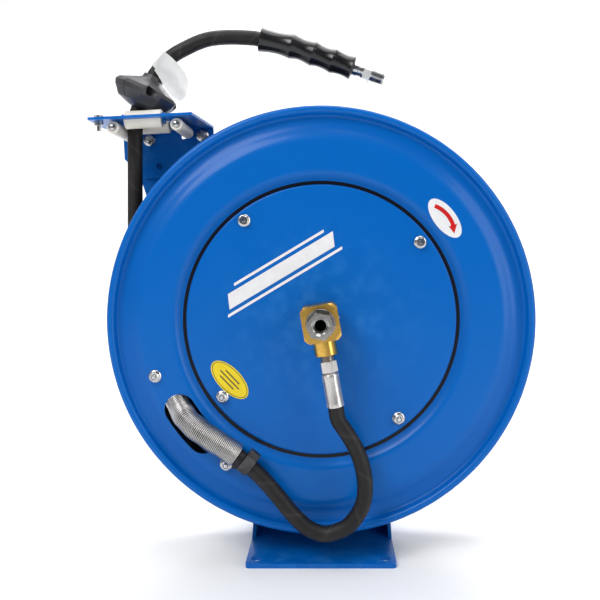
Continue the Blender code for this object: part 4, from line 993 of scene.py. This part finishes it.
def make_hose_stop():
    """Two faceted halves with rounded edges, a fine joint between them and sunk screws."""
    profile = [
        (0.0098, -0.0206), (0.014, -0.021), (0.029, -0.016), (0.037, -0.006), (0.039, -0.0005),
        (0.036, 0.004), (0.015, 0.0142), (0.0128, 0.016), (0.0118, 0.0205), (0.0098, 0.0203),
    ]
    place = stop_matrix()
    made = []
    for name, node, sign in (
        ("stop_shell_left", "stop_half_left", -1.0),
        ("stop_shell_right", "stop_half_right", 1.0),
    ):
        shell = turned(name, profile, STOP_GREY, 10, place, pi / 10.0)
        low, high = sorted((sign * 0.00035, sign * 0.07))
        outline = [(low, -0.07), (high, -0.07), (high, 0.07), (low, 0.07)]
        boolean(shell, prism("half_tool", outline, -0.07, 0.07, None, place), "INTERSECT")
        for y in (-0.0215, 0.0215):
            sink = place @ Matrix.Translation((0.0, y, 0.0)) @ TO_SIDE
            ends = sorted((sign * 0.012, sign * 0.06))
            pocket = [(0.0, ends[0]), (0.0054, ends[0]), (0.0054, ends[1]), (0.0, ends[1])]
            cut(shell, pocket, 32, sink)
        bevelled(shell, 0.0009, 3, 18.0)
        applied(shell, sharp=50.0)
        put(shell, "stand", node, slot="black_plastic")
        made.append(shell)
    return made


def make_tag():
    """Blank vinyl tag: a wrapped band and a flag that curls a little away from the hose."""
    line = [(-0.1949, 0.0, 0.561), (-0.1875, 0.0, 0.569), (-0.1798, 0.0, 0.577)]
    route = smooth_route(line, 0.004)
    bm = bmesh.new()
    rings = []
    sides = 32
    for point, (_, side, over) in zip(route, frames_along(route)):
        ring = []
        for radius in (HOSE_RADIUS + 0.0012, HOSE_RADIUS + 0.0005):
            for k in range(sides):
                angle = 2.0 * pi * k / sides
                ring.append(bm.verts.new(beside(point, side, over, angle, radius)))
        rings.append(ring)
    for here, there in zip(rings, rings[1:]):
        for shell in (0, sides):
            for k in range(sides):
                n = (k + 1) % sides
                bm.faces.new((here[shell + k], here[shell + n], there[shell + n], there[shell + k]))
    for ring in (rings[0], rings[-1]):
        for k in range(sides):
            n = (k + 1) % sides
            bm.faces.new((ring[k], ring[n], ring[sides + n], ring[sides + k]))
    band = finish_mesh(bm, "tag_band", VINYL, 50.0)
    put(band, "stand", "hose_tag", slot="tag_vinyl")
    corners = [
        (-0.1866, 0.5811), (-0.18, 0.5775), (-0.1747, 0.5728), (-0.167, 0.565),
        (-0.1604, 0.5561), (-0.157, 0.5485), (-0.1557, 0.5407), (-0.1563, 0.533),
        (-0.159, 0.5262), (-0.1645, 0.5215), (-0.17, 0.5238), (-0.178, 0.531), (-0.184, 0.539),
        (-0.189, 0.5475), (-0.193, 0.554), (-0.1965, 0.559), (-0.193, 0.57),
    ]
    flag = flag_sheet(corners)
    put(flag, "stand", slot="tag_vinyl")
    return [band, flag]


def flag_sheet(corners):
    """The flag as a fine sheet, bent forward a little along its length, with some thickness."""
    bm = bmesh.new()
    front = -(HOSE_RADIUS + 0.0016)
    face = bm.faces.new([bm.verts.new((x, front, z)) for x, z in corners])
    bmesh.ops.triangulate(bm, faces=[face])
    for _ in range(3):
        bmesh.ops.subdivide_edges(bm, edges=bm.edges, cuts=1, use_grid_fill=True)
    start = Vector((-0.188, 0.0, 0.57))
    down = Vector((0.52, 0.0, -0.85)).normalized()
    for vert in bm.verts:
        reach = max(0.0, (vert.co - start).dot(down))
        across = (vert.co - start).dot(Vector((0.85, 0.0, 0.52)))
        bend = 0.9 * reach**2 / 0.048 * 0.16
        wave = 0.0012 * sin(across * 190.0) * min(1.0, reach / 0.02)
        vert.co.y += -bend - wave
    flag = finish_mesh(bm, "tag_flag", VINYL, 60.0)
    step = flag.modifiers.new("thickness", "SOLIDIFY")
    step.thickness = 0.0005
    step.offset = 0.0
    return applied(flag, sharp=60.0)


GRIP_ROUTE = (
    (-0.0742, 0.0, 0.5986), (-0.0369, 0.0, 0.5903), (-0.0108, 0.0, 0.5815),
    (0.0373, 0.0, 0.564),
)
GRIP_RIDGES = (0.0, 0.333, 0.568, 0.792, 1.0)
GRIP_RADIUS = 0.0147
GRIP_DIP = 0.0022


def make_grip():
    """Moulded grip: four long dips between sharp ridges, with square ends."""
    route = smooth_route(list(GRIP_ROUTE), 0.0009)
    count = len(route)
    radii = []
    for i in range(count):
        t = i / (count - 1)
        for low, high in zip(GRIP_RIDGES, GRIP_RIDGES[1:]):
            if t <= high:
                share = (t - low) / (high - low)
                break
        radii.append(GRIP_RADIUS - GRIP_DIP * sin(pi * min(1.0, share)) ** 0.85)
    ends = [0.62, 0.93]
    radii[:2] = [radii[0] * ends[0], radii[1] * ends[1]]
    radii[-2:] = [radii[-2] * ends[1], radii[-1] * ends[0]]
    grip = tube("grip_moulding", route, radii, GRIP_BLACK, 48, 40.0)
    put(grip, "stand", "hose_grip", slot="hose_rubber")
    return grip


def make_fitting():
    """End fitting: crimped collar, hexagon and a pipe thread with a bore in its end."""
    start = Vector(GRIP_ROUTE[-1])
    along = Vector((cos(radians(20.0)), 0.0, -sin(radians(20.0))))
    place = pointing(start, along)
    body = chamfered_block("end_connector", 0.94, 0.3, 0.0091, 0.013, 0.0222, ZINC, place, 0.0012)
    profile = [(0.0, 0.0004), (0.0078, 0.0004), (0.008, 0.001), (0.008, 0.006), (0.007, 0.0066)]
    profile += [(0.007, 0.01), (0.0078, 0.0106), (0.0078, 0.0132), (0.0, 0.0132)]
    joined(body, profile, 56, place)
    thread = [(0.0, 0.021), (0.0074, 0.021), (0.0074, 0.0238)]
    for i in range(10):
        at = 0.0242 + i * 0.0014
        thread += [(0.0082 - i * 0.00004, at), (0.0074 - i * 0.00004, at + 0.0007)]
    thread += [(0.007, 0.0385), (0.0, 0.0385)]
    joined(body, thread, 56, place)
    bore = [(0.0, 0.02), (0.0042, 0.02), (0.0042, 0.0375), (0.0052, 0.04), (0.0, 0.04)]
    cut(body, bore, 32, place)
    bevelled(body, 0.00025, 2, 30.0)
    put(body, "stand", "end_fitting", slot="zinc_plate")
    return body


# Clamp


def make_clamp():
    """The P-clamp keeps its CAD shape, with softened edges and a moulded block at its joint."""
    centre = Vector((-0.082, -0.0638, 0.113))
    along = (Vector(GUARD_ROUTE[0]) - Vector(PIGTAIL_ROUTE[-2])).normalized()
    across = along.cross(Vector((0.0, 1.0, 0.0))).normalized()
    if across.x < 0.0:
        across = -across
    place = Matrix((across, along.cross(across), along)).transposed().to_4x4()
    place = Matrix.Translation(centre) @ place
    outline = [(0.01, -0.005), (0.0165, -0.005), (0.0165, 0.004), (0.01, 0.0052)]
    block = prism("clamp_block", outline, -0.0062, 0.0062, BLACK, place)
    bevelled(block, 0.0008, 3, 30.0)
    put(block, "spool", slot="black_plastic")


# Finishes of the CAD nodes that stay

KEPT = (
    (BLUE, ("foot_plate", "upright", "guide_arm", "guide_plate")),
    (STEEL, ("axle", "spring_arbor")),
    (ZINC, ("axle_washer", "axle_nut", "arm_bolt_1", "arm_bolt_2", "keeper_bolt", "front_pin")),
    (ZINC, ("rear_pin", "pawl_pin", "pawl", "ratchet_wheel", "stop_screw_front")),
    (ZINC, ("stop_screw_back",)),
    (DARK_STEEL, ("pawl_spring", "mainspring")),
    (BRONZE, ("bush_front", "bush_back")),
    (BLACK, ("hose_clamp",)),
)
SOFTENED = {"foot_plate": 0.0008, "upright": 0.0008, "guide_arm": 0.0006, "guide_plate": 0.0006}


def finish_kept_nodes():
    for finish, names in KEPT:
        for name in names:
            node = NODES[name]
            node.data.materials.clear()
            node.data.materials.append(finish)
            bevelled(node, SOFTENED.get(name, 0.0003), 2, 40.0)


# Stage


def make_stage():
    bm = bmesh.new()
    wide = 6.0
    rows = [(-6.0, 0.0), (1.6, 0.0)]
    angles = [pi / 2.0 * k / 12 for k in range(1, 13)]
    rows += [(1.6 + 1.2 * sin(a), 1.2 - 1.2 * cos(a)) for a in angles]
    rows.append((2.8, 5.0))
    left = [bm.verts.new((-wide, y, z)) for y, z in rows]
    right = [bm.verts.new((wide, y, z)) for y, z in rows]
    for i in range(len(rows) - 1):
        bm.faces.new((left[i], right[i], right[i + 1], left[i + 1]))
    finish_mesh(bm, "studio_floor", floor_finish(), 60.0)


SKY_STRENGTH = 0.54
MIDDLE = (0.0, 0.0, 0.3)
LIGHTS = (
    # name, place, aim, size in metres, power in watts
    ("key", (-1.1, -1.5, 1.9), MIDDLE, (1.2, 1.2), 37.0),
    ("fill", (1.9, -1.3, 0.9), MIDDLE, (0.9, 1.8), 18.0),
    ("top", (0.2, 0.1, 2.3), MIDDLE, (2.2, 1.2), 21.0),
    ("back", (0.4, 2.2, 1.8), MIDDLE, (1.8, 1.2), 18.0),
    ("wall", (0.0, 0.9, 2.6), (0.0, 2.6, 0.9), (3.0, 0.8), 60.0),
)


def area_light(name, at, aim, size, power):
    data = bpy.data.lights.new(name, "AREA")
    data.shape = "RECTANGLE"
    data.size, data.size_y = size
    data.energy = power
    light = bpy.data.objects.new(name, data)
    light.location = at
    light.rotation_euler = (Vector(aim) - Vector(at)).to_track_quat("-Z", "Y").to_euler()
    bpy.context.scene.collection.objects.link(light)


def make_lights():
    for light in LIGHTS:
        area_light(*light)
    world = bpy.data.worlds.new("studio")
    world.use_nodes = True
    tree = world.node_tree
    sky = tree.nodes["Background"]
    sky.inputs["Strength"].default_value = SKY_STRENGTH
    place = tree.nodes.new("ShaderNodeTexCoord")
    parts = tree.nodes.new("ShaderNodeSeparateXYZ")
    tree.links.new(place.outputs["Generated"], parts.inputs[0])
    ramp = tree.nodes.new("ShaderNodeValToRGB")
    shift = tree.nodes.new("ShaderNodeMapRange")
    shift.inputs["From Min"].default_value = -1.0
    tree.links.new(parts.outputs["Y"], shift.inputs["Value"])
    tree.links.new(shift.outputs["Result"], ramp.inputs["Fac"])
    ramp.color_ramp.elements[0].position = 0.06
    ramp.color_ramp.elements[0].color = (0.16, 0.17, 0.19, 1.0)
    ramp.color_ramp.elements[1].position = 0.42
    ramp.color_ramp.elements[1].color = (0.95, 0.97, 1.0, 1.0)
    tree.links.new(ramp.outputs["Color"], sky.inputs["Color"])
    bpy.context.scene.world = world
    bpy.context.scene.view_settings.view_transform = "Standard"


make_camera()
make_wound_hose()
make_discs()
make_cover()
make_drum()
make_back_wall()
make_nuts()
make_labels()
make_swivel()
make_stem()
make_outlet()
make_clamp()
make_rollers()
make_guide_nuts()
shells = make_hose_stop()
tags = make_tag()
grip = make_grip()
fitting = make_fitting()
make_lead()
finish_kept_nodes()
make_stage()
make_lights()
